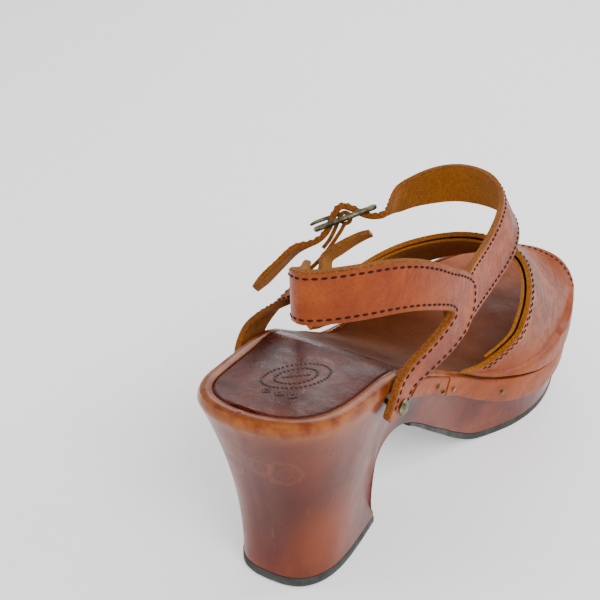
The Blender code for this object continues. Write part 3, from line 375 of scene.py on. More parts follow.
def revolved(name, profile, base, axis, slot, seg=16, origin=None):
    # profile: (radius, height) pairs top to bottom along axis from base; both ends on the axis
    q = axis.to_track_quat('Z', 'Y').to_matrix().to_4x4()
    bm = bmesh.new()
    loops = []
    for r, h in profile:
        if r <= 0:
            loops.append([bm.verts.new(base + q @ Vector((0, 0, h * MM)))])
        else:
            loops.append([bm.verts.new(base + q @ Vector((r * MM * math.cos(2 * math.pi * k / seg),
                                                          r * MM * math.sin(2 * math.pi * k / seg), h * MM)))
                          for k in range(seg)])
    for a, b in zip(loops[:-1], loops[1:]):
        for k in range(seg):
            k2 = (k + 1) % seg
            if len(a) == 1:
                bm.faces.new((a[0], b[k], b[k2]))
            elif len(b) == 1:
                bm.faces.new((a[k], b[0], a[k2]))
            else:
                bm.faces.new((a[k], b[k], b[k2], a[k2]))
    return add_object(name, bm, slot, origin=origin)


# ---------------------------------------------------------------- sole
flat = [tuple(t) + tuple(b) for t, b in SOLE]
SOLE_SUB = 4
ST = spline(flat, SOLE_SUB)
NS = len(ST)


def plan(side, i, which):
    r = ST[i]
    k = 0 if which == 't' else 4
    x = -r[k + 1] if side < 0 else r[k + 2]
    return (x, r[k], r[k + 3])


def ring_index():
    # medial 0..NS-1 then lateral NS-2..1
    return [(-1, i) for i in range(NS)] + [(1, i) for i in range(NS - 2, 0, -1)]


RI = ring_index()
TOPR = [plan(sd, i, 't') for sd, i in RI]
BOTR = [plan(sd, i, 'b') for sd, i in RI]
NR = len(RI)
NRM = []
for k in range(NR):
    a, b = TOPR[k - 1], TOPR[(k + 1) % NR]
    tx, ts = b[0] - a[0], b[1] - a[1]
    L = math.hypot(tx, ts)
    # outward: medial side travels toward the toe, outward is -x
    NRM.append((-ts / L, tx / L))


def flare(s):
    t = min(max((s - 60) / 50, 0), 1)
    return FLARE_HEEL + (FLARE_TOE - FLARE_HEEL) * t


def drop(s):
    return 3.2 if s < 60 else 2.2


def side_point(k, v):
    t, b = TOPR[k], BOTR[k]
    p = flare(t[1])
    h = 1 - (1 - v) ** p
    # near the heel breast the side runs straight down before it turns to the base corner
    w = min(max((t[1] - 28) / 24, 0), 1) * min(max((88 - t[1]) / 18, 0), 1)
    hs = h * (1 - w) + v ** 3.6 * w
    z0 = t[2] - drop(t[1])
    return (t[0] + (b[0] - t[0]) * h, t[1] + (b[1] - t[1]) * hs, z0 + (b[2] - z0) * v)


def side_at_z(k, z):
    z0 = TOPR[k][2] - drop(TOPR[k][1])
    v = (z - z0) / (BOTR[k][2] - z0)
    return side_point(k, min(max(v, 0.0), 1.0))


def inset_ring(d_fn, z_fn):
    out = []
    for k in range(NR):
        t = TOPR[k]
        d = d_fn(t[1])
        z = z_fn(t)
        out.append((t[0] - NRM[k][0] * d, t[1] - NRM[k][1] * d, z))
    return out


def rim_inset(s):
    return tab(RIM_INSET, s)


def cap_strip(bm, ring, reverse=False):
    # ring: list of verts in RI order; strips between medial i and lateral i
    med = ring[:NS]
    lat = [ring[0]] + list(reversed(ring[NS:])) + [ring[NS - 1]]
    for i in range(NS - 1):
        vs = [med[i], med[i + 1], lat[i + 1], lat[i]]
        uniq = []
        for v in vs:
            if v not in uniq:
                uniq.append(v)
        if len(uniq) >= 3:
            bm.faces.new(uniq)


bm = bmesh.new()
rings = []
rings.append(inset_ring(rim_inset, lambda t: t[2] - RECESS))
rings.append(inset_ring(rim_inset, lambda t: t[2] - 0.35))
rings.append(inset_ring(lambda s: rim_inset(s) - 0.4, lambda t: t[2]))
rings.append(inset_ring(lambda s: 2.0, lambda t: t[2] + 0.15))
rings.append(inset_ring(lambda s: 0.9, lambda t: t[2] - 0.35))
rings.append(inset_ring(lambda s: 0.25, lambda t: t[2] - drop(t[1]) * 0.5))
NV = 24
for j in range(NV + 1):
    v = (j / NV) ** 1.15
    rings.append([side_point(k, v) for k in range(NR)])
rim_layer = bm.verts.layers.float.new("rim")
rv = [[bm.verts.new(P(*p)) for p in r] for r in rings]
RIMW = [0.0, 0.35, 0.7, 0.85, 1.0, 1.0]
for jj, r in enumerate(rv):
    for vtx in r:
        if jj < 6:
            vtx[rim_layer] = RIMW[jj]
        else:
            vtx[rim_layer] = max(0.0, 0.85 - (jj - 6) * 0.28)
for a, b in zip(rv[:-1], rv[1:]):
    for k in range(NR):
        k2 = (k + 1) % NR
        bm.faces.new((a[k], a[k2], b[k2], b[k]))
cap_strip(bm, rv[0])
cap_strip(bm, rv[-1])
wood = add_object("wood_sole", bm, 'stained_wood')


def station_at(s, side=-1):
    # fractional ring index on the requested side whose rim is at s
    for i in range(NS - 1):
        if ST[i][0] <= s <= ST[i + 1][0]:
            t = (s - ST[i][0]) / (ST[i + 1][0] - ST[i][0])
            return i + t
    return NS - 1.0


def wood_edge(side, s, z):
    # outer surface of the wood on a side at rim station s and height z: point and outward normal
    f = station_at(s)
    i = int(min(f, NS - 2))
    t = f - i
    ks = []
    for j in (i, i + 1):
        ks.append(j if side < 0 else (NR - j) % NR if j not in (0, NS - 1) else j)
    pa, pb = side_at_z(ks[0], z), side_at_z(ks[1], z)
    na, nb = NRM[ks[0]], NRM[ks[1]]
    n = (na[0] * (1 - t) + nb[0] * t, na[1] * (1 - t) + nb[1] * t)
    L = math.hypot(*n)
    return tuple(a * (1 - t) + b * t for a, b in zip(pa, pb)), (n[0] / L, n[1] / L)


def rim_z(s):
    f = station_at(s)
    i = int(min(f, NS - 2))
    t = f - i
    return ST[i][3] * (1 - t) + ST[i + 1][3] * t


# footbed leathers sit in the recess
def footbed(name, s0, s1, slot, edge=0.35):
    floor = inset_ring(lambda s: rim_inset(s) + edge, lambda t: t[2] - RECESS + GAP)
    wall = inset_ring(lambda s: rim_inset(s) + edge, lambda t: t[2] - 0.55)
    top = inset_ring(lambda s: rim_inset(s) + edge + 0.7, lambda t: t[2] - 0.05)
    med_all = list(range(NS))
    f0, f1 = station_at(s0), station_at(s1)
    bm = bmesh.new()

    def at(ring, side, f):
        i = int(min(f, NS - 2))
        t = f - i
        idx = []
        for j in (i, i + 1):
            idx.append(j if side < 0 or j in (0, NS - 1) else NR - j)
        a, b = ring[idx[0]], ring[idx[1]]
        return tuple(u * (1 - t) + v * t for u, v in zip(a, b))
    fs = [f0] + [i for i in range(NS) if f0 + 0.25 < i < f1 - 0.25] + [f1]
    loops = []
    for f in fs:
        sec = []
        tl, tm = at(top, 1, f), at(top, -1, f)
        dome = 0.35
        for q in (0.0, 0.25, 0.5, 0.75, 1.0):
            p = tuple(u * (1 - q) + v * q for u, v in zip(tm, tl))
            sec.append((p[0], p[1], p[2] + dome * math.sin(math.pi * q)))
        sec.append(at(wall, 1, f))
        fl, fm = at(floor, 1, f), at(floor, -1, f)
        sec.append(fl)
        sec.append(tuple((u + v) / 2 for u, v in zip(fl, fm)))
        sec.append(fm)
        sec.append(at(wall, -1, f))
        loops.append([P(*p) for p in sec])
    loft(bm, loops)
    return add_object(name, bm, slot)


footbed("heel_pad", 0.9, PAD_SPLIT, 'pad_leather')
footbed("insole_sock", PAD_SPLIT + 0.6, 237.2, 'sock_leather')

# rubber heel lift under the heel base
n_base = [i for i in range(NS) if ST[i][7] < 4.6 and ST[i][4] < 66.5]
i_last = max(n_base)
bm = bmesh.new()
med = [plan(-1, i, 'b') for i in range(0, i_last + 1)]
lat = [plan(1, i, 'b') for i in range(i_last, 0, -1)]
outline = med + lat
cx, cs = 0.0, 44.0


def scaled(o, d, z):
    r = []
    for x, s, _ in o:
        L = math.hypot(x - cx, s - cs)
        r.append((cx + (x - cx) * (L - d) / L, cs + (s - cs) * (L - d) / L, z))
    return r


loft(bm, [[P(*p) for p in scaled(outline, d, z)] for d, z in
          ((0.9, 0.0), (0.25, 0.5), (-0.35, 1.4), (-0.35, LIFT_T - 0.5), (0.0, LIFT_T))])
lift = add_object("heel_top_lift", bm, 'black_rubber')

# rubber forepart outsole under the shank and ball
bm = bmesh.new()
loops = []
fi = [i for i in range(NS) if ST[i][4] >= OUTSOLE_FROM]
for i in fi:
    m, l = plan(-1, i, 'b'), plan(1, i, 'b')
    t = tab(OUTSOLE_T, m[1])
    zt = m[2] - GAP
    # pull the edge in a touch at the very tip so the section keeps a width
    if abs(m[0] - l[0]) < 1.0:
        m = (m[0] - 1.2, m[1] - 0.3, m[2])
        l = (l[0] + 1.2, l[1] - 0.3, l[2])
    zb = max(zt - t, 0.0)
    mid = (m[0] + l[0]) / 2
    sec = [(m[0] + 0.2, m[1], zt), (mid, m[1], zt), (l[0] - 0.2, l[1], zt), (l[0], l[1], zt - 0.35),
           (l[0], l[1], zb + 0.35), (l[0] - 0.5, l[1], zb), (mid, m[1], zb), (m[0] + 0.5, m[1], zb),
           (m[0], m[1], zb + 0.35), (m[0], m[1], zt - 0.35)]
    loops.append([P(*p) for p in sec])
loft(bm, loops)
add_object("forepart_outsole", bm, 'black_rubber')


# ---------------------------------------------------------------- rand
def rand_piece(name, path, t, slot='tan_leather'):
    # path: list of (side, s)
    bm = bmesh.new()
    loops = []
    for side, s in path:
        zt, zb = tab(RAND_TOP, s), tab(RAND_BOTTOM, s)
        sec_in, sec_out = [], []
        for q in (0.0, 0.08, 0.5, 0.92, 1.0):
            z = zt + (zb - zt) * q
            p, n = wood_edge(side, s, z)
            e = 0.45 if q in (0.0, 1.0) else 0.0
            sec_in.append((p[0] + n[0] * GAP, p[1] + n[1] * GAP, z))
            sec_out.append((p[0] + n[0] * (GAP + t - e), p[1] + n[1] * (GAP + t - e), z))
        loops.append([P(*p) for p in sec_in + list(reversed(sec_out))])
    loft(bm, loops)
    return add_object(name, bm, slot)


def s_list(a, b):
    mids = [ST[i][0] for i in range(NS) if a + 0.8 < ST[i][0] < b - 0.8]
    return [a] + mids + [b]


left = [(-1, s) for s in s_list(RAND_FROM, 237.8)]
right = [(1, s) for s in reversed(s_list(RAND_FROM, 237.8))]
rand_piece("rand_forepart", left + [(-1, 238.0)] + right, RAND_T)
rand_piece("rand_waist_medial", [(-1, s) for s in s_list(WAIST_FROM, RAND_FROM - 0.6)], 1.9)
rand_piece("rand_waist_lateral", [(1, s) for s in s_list(WAIST_FROM, RAND_FROM - 0.6)], 1.9)


# ---------------------------------------------------------------- vamp
def foot_line(side, s0, s1, n):
    out = []
    for k in range(n):
        s = s0 + (s1 - s0) * k / (n - 1)
        z = tab(RAND_TOP, s) + GAP + 1.6
        p, nn = wood_edge(side, s, z)
        d = GAP + VAMP_T / 2 + 0.05
        out.append((p[0] + nn[0] * d, p[1] + nn[1] * d, z))
    return out


NU, NVV = 33, 91
MED = foot_line(-1, VAMP_ROOT[0], VAMP_TOE[0], NU)
LAT = foot_line(1, VAMP_ROOT[1], VAMP_TOE[1], NU)
REAR = resample(spline([MED[0]] + VAMP_REAR + [LAT[0]], 6), NVV)
FRONT = resample(spline([MED[-1]] + VAMP_FRONT + [LAT[-1]], 6), NVV)


def wfun(v):
    return max(0.0, 1 - v / 0.42) ** 1.6


def vamp_point(u, v):
    # v index may be fractional
    f = v * (NVV - 1)
    i = int(min(f, NVV - 2))
    t = f - i
    R = tuple(a * (1 - t) + b * t for a, b in zip(REAR[i], REAR[i + 1]))
    F = tuple(a * (1 - t) + b * t for a, b in zip(FRONT[i], FRONT[i + 1]))
    g = min(max(u, 0), 1) * (NU - 1)
    j = int(min(g, NU - 2))
    tt = g - j
    M = tuple(a * (1 - tt) + b * tt for a, b in zip(MED[j], MED[j + 1]))
    L = tuple(a * (1 - tt) + b * tt for a, b in zip(LAT[j], LAT[j + 1]))
    out = []
    for c in range(3):
        dm = M[c] - (MED[0][c] * (1 - min(max(u, 0), 1)) + MED[-1][c] * min(max(u, 0), 1))
        dl = L[c] - (LAT[0][c] * (1 - min(max(u, 0), 1)) + LAT[-1][c] * min(max(u, 0), 1))
        out.append(R[c] * (1 - u) + F[c] * u + wfun(v) * dm + wfun(1 - v) * dl)
    x, s, z = out
    side = -1 if v < 0.5 else 1
    zr = rim_z(s)
    if z < zr + 1.5 and s < 232:
        p, n = wood_edge(side, s, min(z, zr - 2.0))
        need = abs(p[0]) + (GAP + VAMP_T / 2 + 0.8) / max(abs(n[0]), 0.6)
        if abs(x) < need:
            x = need * side
    return Vector((x, s, z))


def shell(name, grid, t, slot):
    # grid[i][j] of Vectors (x,s,z); solid of thickness t about the grid
    rows, cols = len(grid), len(grid[0])
    nrm = [[None] * cols for _ in range(rows)]
    for i in range(rows):
        for j in range(cols):
            a = grid[min(i + 1, rows - 1)][j] - grid[max(i - 1, 0)][j]
            b = grid[i][min(j + 1, cols - 1)] - grid[i][max(j - 1, 0)]
            n = a.cross(b)
            nrm[i][j] = n.normalized()
    bm = bmesh.new()
    top = [[bm.verts.new(P(*(grid[i][j] + nrm[i][j] * (t / 2)))) for j in range(cols)] for i in range(rows)]
    bot = [[bm.verts.new(P(*(grid[i][j] - nrm[i][j] * (t / 2)))) for j in range(cols)] for i in range(rows)]
    for i in range(rows - 1):
        for j in range(cols - 1):
            bm.faces.new((top[i][j], top[i + 1][j], top[i + 1][j + 1], top[i][j + 1]))
            fb = bm.faces.new((bot[i][j], bot[i][j + 1], bot[i + 1][j + 1], bot[i + 1][j]))
            fb.material_index = 1
    for i in range(rows - 1):
        bm.faces.new((top[i][0], bot[i][0], bot[i + 1][0], top[i + 1][0]))
        bm.faces.new((top[i][-1], top[i + 1][-1], bot[i + 1][-1], bot[i][-1]))
    for j in range(cols - 1):
        bm.faces.new((top[0][j], top[0][j + 1], bot[0][j + 1], bot[0][j]))
        bm.faces.new((top[-1][j], bot[-1][j], bot[-1][j + 1], top[-1][j + 1]))
    return add_object(name, bm, slot), nrm


vg = [[vamp_point(i / (NU - 1), j / (NVV - 1)) for j in range(NVV)] for i in range(NU)]
vamp, vn = shell("vamp", vg, VAMP_T, 'tan_leather')

# lining: inside the vamp, proud of its rear edge, ending just above the footbed
lg = []
off = VAMP_T / 2 + GAP + LINING_T / 2 + 0.75
LU, LV = 25, 71
for i in range(LU):
    u = -0.035 + (0.985 + 0.035) * i / (LU - 1)
    row_v = []
    vs = [k / 200 for k in range(201)]
    ok = []
    for v in vs:
        p = vamp_point(u, v)
        if p.z > rim_z(p.y) + 2.6 and (0.08 < v < 0.92):
            ok.append(v)
    v0, v1 = min(ok), max(ok)
    row = []
    for j in range(LV):
        v = v0 + (v1 - v0) * j / (LV - 1)
        e = 0.004
        p = vamp_point(u, v)
        a = vamp_point(u + e, v) - vamp_point(u - e, v)
        b = vamp_point(u, min(v + e, 1)) - vamp_point(u, max(v - e, 0))
        n = a.cross(b).normalized()
        row.append(p - n * off * (1 if vn[16][45].z > 0 else -1))
    lg.append(row)
shell("vamp_lining", lg, LINING_T, 'suede')


# ---------------------------------------------------------------- straps
def strap(name, stations, t, slot='tan_leather', sub=6, origin=None, flip=False, t_list=None):
    # stations: (inner edge, outer edge) triples in mm; rounded rectangular section
    fl = spline([tuple(a) + tuple(b) for a, b in stations], sub)
    tl = None
    if t_list:
        tl = [v[0] for v in spline([(x, 0.0) for x in t_list], sub)]
    I = [Vector(f[:3]) for f in fl]
    O = [Vector(f[3:]) for f in fl]
    C = [(a + b) / 2 for a, b in zip(I, O)]
    loops = []
    rows = []
    n = len(fl)
    for k in range(n):
        w = O[k] - I[k]
        tg = C[min(k + 1, n - 1)] - C[max(k - 1, 0)]
        ti = I[min(k + 1, n - 1)] - I[max(k - 1, 0)]
        to = O[min(k + 1, n - 1)] - O[max(k - 1, 0)]
        tg = ti.normalized() * min(ti.length, 6) + to.normalized() * min(to.length, 6)
        nn = tg.cross(w).normalized()
        if flip:
            nn = -nn
        W = w.length
        wd = w.normalized()
        th = tl[k] if tl else t
        c = min(0.45, th * 0.25)
        h = th / 2
        sec = [(-W / 2, -h + c), (-W / 2 + c, -h), (0, -h), (W / 2 - c, -h), (W / 2, -h + c),
               (W / 2, h - c), (W / 2 - c, h), (0, h), (-W / 2 + c, h), (-W / 2, h - c)]
        loops.append([P(*(C[k] + wd * a + nn * b)) for a, b in sec])
        rows.append((C[k].copy(), wd.copy(), nn.copy(), W, th))
    bm = bmesh.new()
    loft(bm, loops)
    q = rows[int(n * 0.3)]
    out = 1 if q[2].dot(Vector((q[0].x + 3, q[0].y - 95, 0))) > 0 else -1
    if name == 'buckle_billet':
        out = -out
    STRAPS[name] = (rows, out)
    bm.faces.ensure_lookup_table()
    for idx, f in enumerate(bm.faces):
        kk = idx % 10
        f.material_index = 2
        if kk in (1, 2):
            f.material_index = 0 if out < 0 else 1
        elif kk in (6, 7):
            f.material_index = 0 if out > 0 else 1
    return add_object(name, bm, slot, origin=origin)


fold_origin = P(0, FOLD_AXIS_S, FOLD_AXIS_Z)
quarter = strap("quarter_heel_strap", QUARTER, STRAP_T, origin=fold_origin)

BC = Vector(BUCKLE_C)
BW = Vector(BUCKLE_W).normalized()
BU = Vector(BUCKLE_U)
BU = (BU - BW * BU.dot(BW)).normalized()
BN = BW.cross(BU)
if BN.z < 0:
    BN = -BN


def bk(u, w, n):
    return BC + BU * u + BW * w + BN * n


ins = [(Vector(a), Vector(b)) for a, b in INSTEP]
for u, n in PASSAGE:
    ins.append((bk(u, -STRAP_W_AT_BUCKLE / 2, n), bk(u, STRAP_W_AT_BUCKLE / 2, n)))
for k, (c, w) in enumerate(TAIL):
    wv = Vector(w).normalized()
    hw = STRAP_W_AT_BUCKLE / 2 if k < len(TAIL) - 1 else 3.4
    ins.append((Vector(c) - wv * hw, Vector(c) + wv * hw))
instep = strap("instep_strap", [(tuple(a), tuple(b)) for a, b in ins], INSTEP_T, origin=fold_origin)

strap("buckle_backing_tab", BACKING, 1.8, origin=fold_origin)

# billet: wraps the buckle bar and doubles back on itself
R_WRAP = 1.1 + 0.35 + BILLET_T / 2
bp = [(27.5, -15.6), (20.0, -13.8), (13.0, -10.6), (7.5, -7.0), (3.4, -4.1)]
for a in (-70, -105, -140, -175, -210, -245, -280):
    bp.append((R_WRAP * math.cos(math.radians(a)), R_WRAP * math.sin(math.radians(a))))
bp += [(2.4, 0.6), (5.2, -2.4), (9.0, -5.8), (12.6, -8.0)]
bst = []
for u, n in bp:
    bst.append((tuple(bk(u, -BILLET_W / 2, n)), tuple(bk(u, BILLET_W / 2, n))))
billet = strap("buckle_billet", bst, BILLET_T, sub=5, origin=fold_origin)

# buckle frame: rounded oblong ring with a centre bar
bm = bmesh.new()
ring_pts = []
NRG = 96
hx, hw = BUCKLE_LEN / 2 - BUCKLE_WIRE, BUCKLE_WID / 2 - BUCKLE_WIRE
for k in range(NRG):
    a = 2 * math.pi * k / NRG
    ex = 2 / 3.2
    ring_pts.append((hx * math.copysign(abs(math.cos(a)) ** ex, math.cos(a)),
                     hw * math.copysign(abs(math.sin(a)) ** ex, math.sin(a))))
loops = []
for k in range(NRG):
    a, b = ring_pts[k - 1], ring_pts[(k + 1) % NRG]
    tu, tw = b[0] - a[0], b[1] - a[1]
    L = math.hypot(tu, tw)
    nu, nw = tw / L, -tu / L
    lp = []
    for j in range(16):
        q = 2 * math.pi * (j + 0.5) / 16
        ro = BUCKLE_WIRE * 1.15 * math.cos(q)
        rn = BUCKLE_WIRE * 0.95 * math.sin(q)
        lp.append(P(*bk(ring_pts[k][0] + nu * ro, ring_pts[k][1] + nw * ro, rn)))
    loops.append(lp)
loft(bm, loops, closed=True)
bc_m = P(*BC)
frame_o = add_object("buckle_frame", bm, 'antique_brass', origin=bc_m)
bm = bmesh.new()
cyl_between(bm, P(*bk(0, -hw - 0.2, 0)), P(*bk(0, hw + 0.2, 0)), 1.1 * MM, seg=16)
bar = add_object("cut_bar", bm, None, collection=cutcol)
boolean(frame_o, bar, 'UNION')

# prong: ring around the bar and a tongue resting over the frame end
bm = bmesh.new()
pl = []
pr = 1.1 + 0.3 + 0.75
pw = 0.95
path = []
for a in (-20, -60, -100, -140, -180, -220, -255):
    path.append((pr * math.cos(math.radians(a)), pr * math.sin(math.radians(a)), 0.75))
path += [(1.6, 2.35, 0.8), (4.4, 2.55, 0.85), (8.4, 2.75, 0.85), (12.2, 2.75, 0.8), (14.2, 2.45, 0.55)]
for k, (u, n, r) in enumerate(path):
    a = path[max(k - 1, 0)]
    b = path[min(k + 1, len(path) - 1)]
    tu, tn = b[0] - a[0], b[1] - a[1]
    L = math.hypot(tu, tn)
    ou, on = tn / L, -tu / L
    lp = []
    for j in range(8):
        q = 2 * math.pi * (j + 0.5) / 8
        lp.append(P(*bk(u + ou * r * math.cos(q), pw * (r / 0.75) * math.sin(q), n + on * r * math.cos(q))))
    pl.append(lp)
loft(bm, pl)
prong = add_object("buckle_prong", bm, 'antique_brass', origin=bc_m)


def box_cutter(name, u0, u1, w0, w1, n0, n1):
    bm = bmesh.new()
    vs = [bm.verts.new(P(*bk(u, w, n))) for u in (u0, u1) for w in (w0, w1) for n in (n0, n1)]
    for f in ((0, 1, 3, 2), (4, 6, 7, 5), (0, 4, 5, 1), (2, 3, 7, 6), (0, 2, 6, 4), (1, 5, 7, 3)):
        bm.faces.new([vs[i] for i in f])
    return add_object(name, bm, None, collection=cutcol)


boolean(instep, box_cutter("cut_strap_hole", 1.2, 8.6, -1.9, 1.9, -4.5, 7.5))
boolean(billet, box_cutter("cut_billet_slot", -5.5, 3.9, -2.0, 2.0, -6.4, 5.0))


# ---------------------------------------------------------------- tacks and nails
def tack(name, base, axis, head_r, head_h, shank_r, shank_l, slot='antique_brass', seg=32, lift=0.12):
    prof = [(0, head_h + lift), (head_r * 0.45, head_h * 0.93 + lift), (head_r * 0.8, head_h * 0.62 + lift),
            (head_r, head_h * 0.2 + lift), (head_r * 0.97, lift), (shank_r, lift),
            (shank_r, -shank_l + shank_r * 2), (0, -shank_l)]
    return revolved(name, prof, base, axis, slot, seg=seg)


hole_specs = []


def hole(bm, base, axis, r, depth, lead=4.0):
    cyl_between(bm, base + axis * lead * MM, base - axis * depth * MM, r * MM, seg=14)


cut_w = bmesh.new()
cut_q = bmesh.new()
cut_r = {'rand_forepart': bmesh.new(), 'rand_waist_medial': bmesh.new(), 'rand_waist_lateral': bmesh.new()}

for side, nm in ((-1, "medial"), (1, "lateral")):
    # dome tack through the strap end into the side of the sole
    xq = -29.3 if side < 0 else 30.6
    base = P(xq + side * (STRAP_T / 2 + 0.8), TACK_S, TACK_Z)
    ax = Vector((side, 0, 0))
    tack("strap_tack_" + nm, base, ax, 3.1, 1.5, 1.0, 12.5)
    hole(cut_w, base, ax, 1.25, 13.5, lead=2)
    hole(cut_q, base, ax, 1.35, 4.6, lead=3)

rand_tacks = [(-1, 96.0, 'rand_waist_medial', 0.50), (-1, 102.0, 'rand_waist_medial', 0.82),
              (-1, 109.0, 'rand_forepart', 0.62), (-1, 139.5, 'rand_forepart', 0.55),
              (1, 96.0, 'rand_waist_lateral', 0.50), (1, 102.0, 'rand_waist_lateral', 0.82),
              (1, 109.0, 'rand_forepart', 0.62), (1, 139.5, 'rand_forepart', 0.55)]
for k, (side, s, piece, q) in enumerate(rand_tacks):
    zt, zb = tab(RAND_TOP, s), tab(RAND_BOTTOM, s)
    z = zt + (zb - zt) * q
    p, n = wood_edge(side, s, z)
    th = RAND_T if piece == 'rand_forepart' else 1.9
    d = GAP + th
    pu, _ = wood_edge(side, s, z + 2.0)
    pd, _ = wood_edge(side, s, z - 2.0)
    k3 = ((pu[0] - pd[0]) * n[0] + (pu[1] - pd[1]) * n[1]) / 4.0
    d += 0.35
    base = P(p[0] + n[0] * d, p[1] + n[1] * d, z)
    ax = Vector((n[0], -n[1], -k3)).normalized()
    nm = "rand_tack_%s_%d" % ("medial" if side < 0 else "lateral", k % 4 + 1)
    tack(nm, base, ax, 1.15, 0.5, 0.55, 8.0, seg=10)
    hole(cut_w, base, ax, 0.8, 9.0, lead=1)
    hole(cut_r[piece], base, ax, 0.8, 5.0, lead=2)

nail_xy = [(-9.5, 31.0), (9.0, 31.0), (-9.5, 56.0), (9.0, 56.0)]
cut_l = bmesh.new()
for k, (x, s) in enumerate(nail_xy):
    base = P(x, s, 0.6)
    prof = [(0, -0.1), (1.9, -0.1), (2.0, 0.1), (1.95, 0.8), (0.85, 1.1), (0.85, 12.5), (0, 14.5)]
    revolved("lift_nail_%d" % (k + 1), prof, base, Vector((0, 0, 1)), 'antique_brass', seg=12)
    cyl_between(cut_l, P(x, s, -1.0), P(x, s, 2.0), 2.3 * MM, seg=14)
    cyl_between(cut_l, P(x, s, 1.6), P(x, s, 6.0), 1.15 * MM, seg=14)
    cyl_between(cut_w, P(x, s, 2.0), P(x, s, 16.2), 1.15 * MM, seg=14)

cw = add_object("cut_wood_holes", cut_w, None, collection=cutcol)
cq = add_object("cut_strap_holes", cut_q, None, collection=cutcol)
for nm, b in cut_r.items():
    c = add_object("cut_" + nm, b, None, collection=cutcol)
# the lift holes are stepped, so cut them in two passes
bm_a, bm_b = bmesh.new(), bmesh.new()
for x, s in nail_xy:
    cyl_between(bm_a, P(x, s, -1.0), P(x, s, 1.9), 2.3 * MM, seg=14)
    cyl_between(bm_b, P(x, s, -1.0), P(x, s, 6.0), 1.15 * MM, seg=14)
cut_l.free()
ca = add_object("cut_lift_heads", bm_a, None, collection=cutcol)
cb = add_object("cut_lift_shanks", bm_b, None, collection=cutcol)
boolean(lift, ca)
boolean(lift, cb)

# ---------------------------------------------------------------- place and hang everything on the bodies
for o in list(col.objects) + list(cutcol.objects):
    o.location += SHIFT

BODY = {}
for body_name, members in frame["record"]["behaviour"]["bodies"].items():
    for n in members:
        BODY[n] = body_name
for n, o in FINE.items():
    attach(o, BODY[n])
    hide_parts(n)


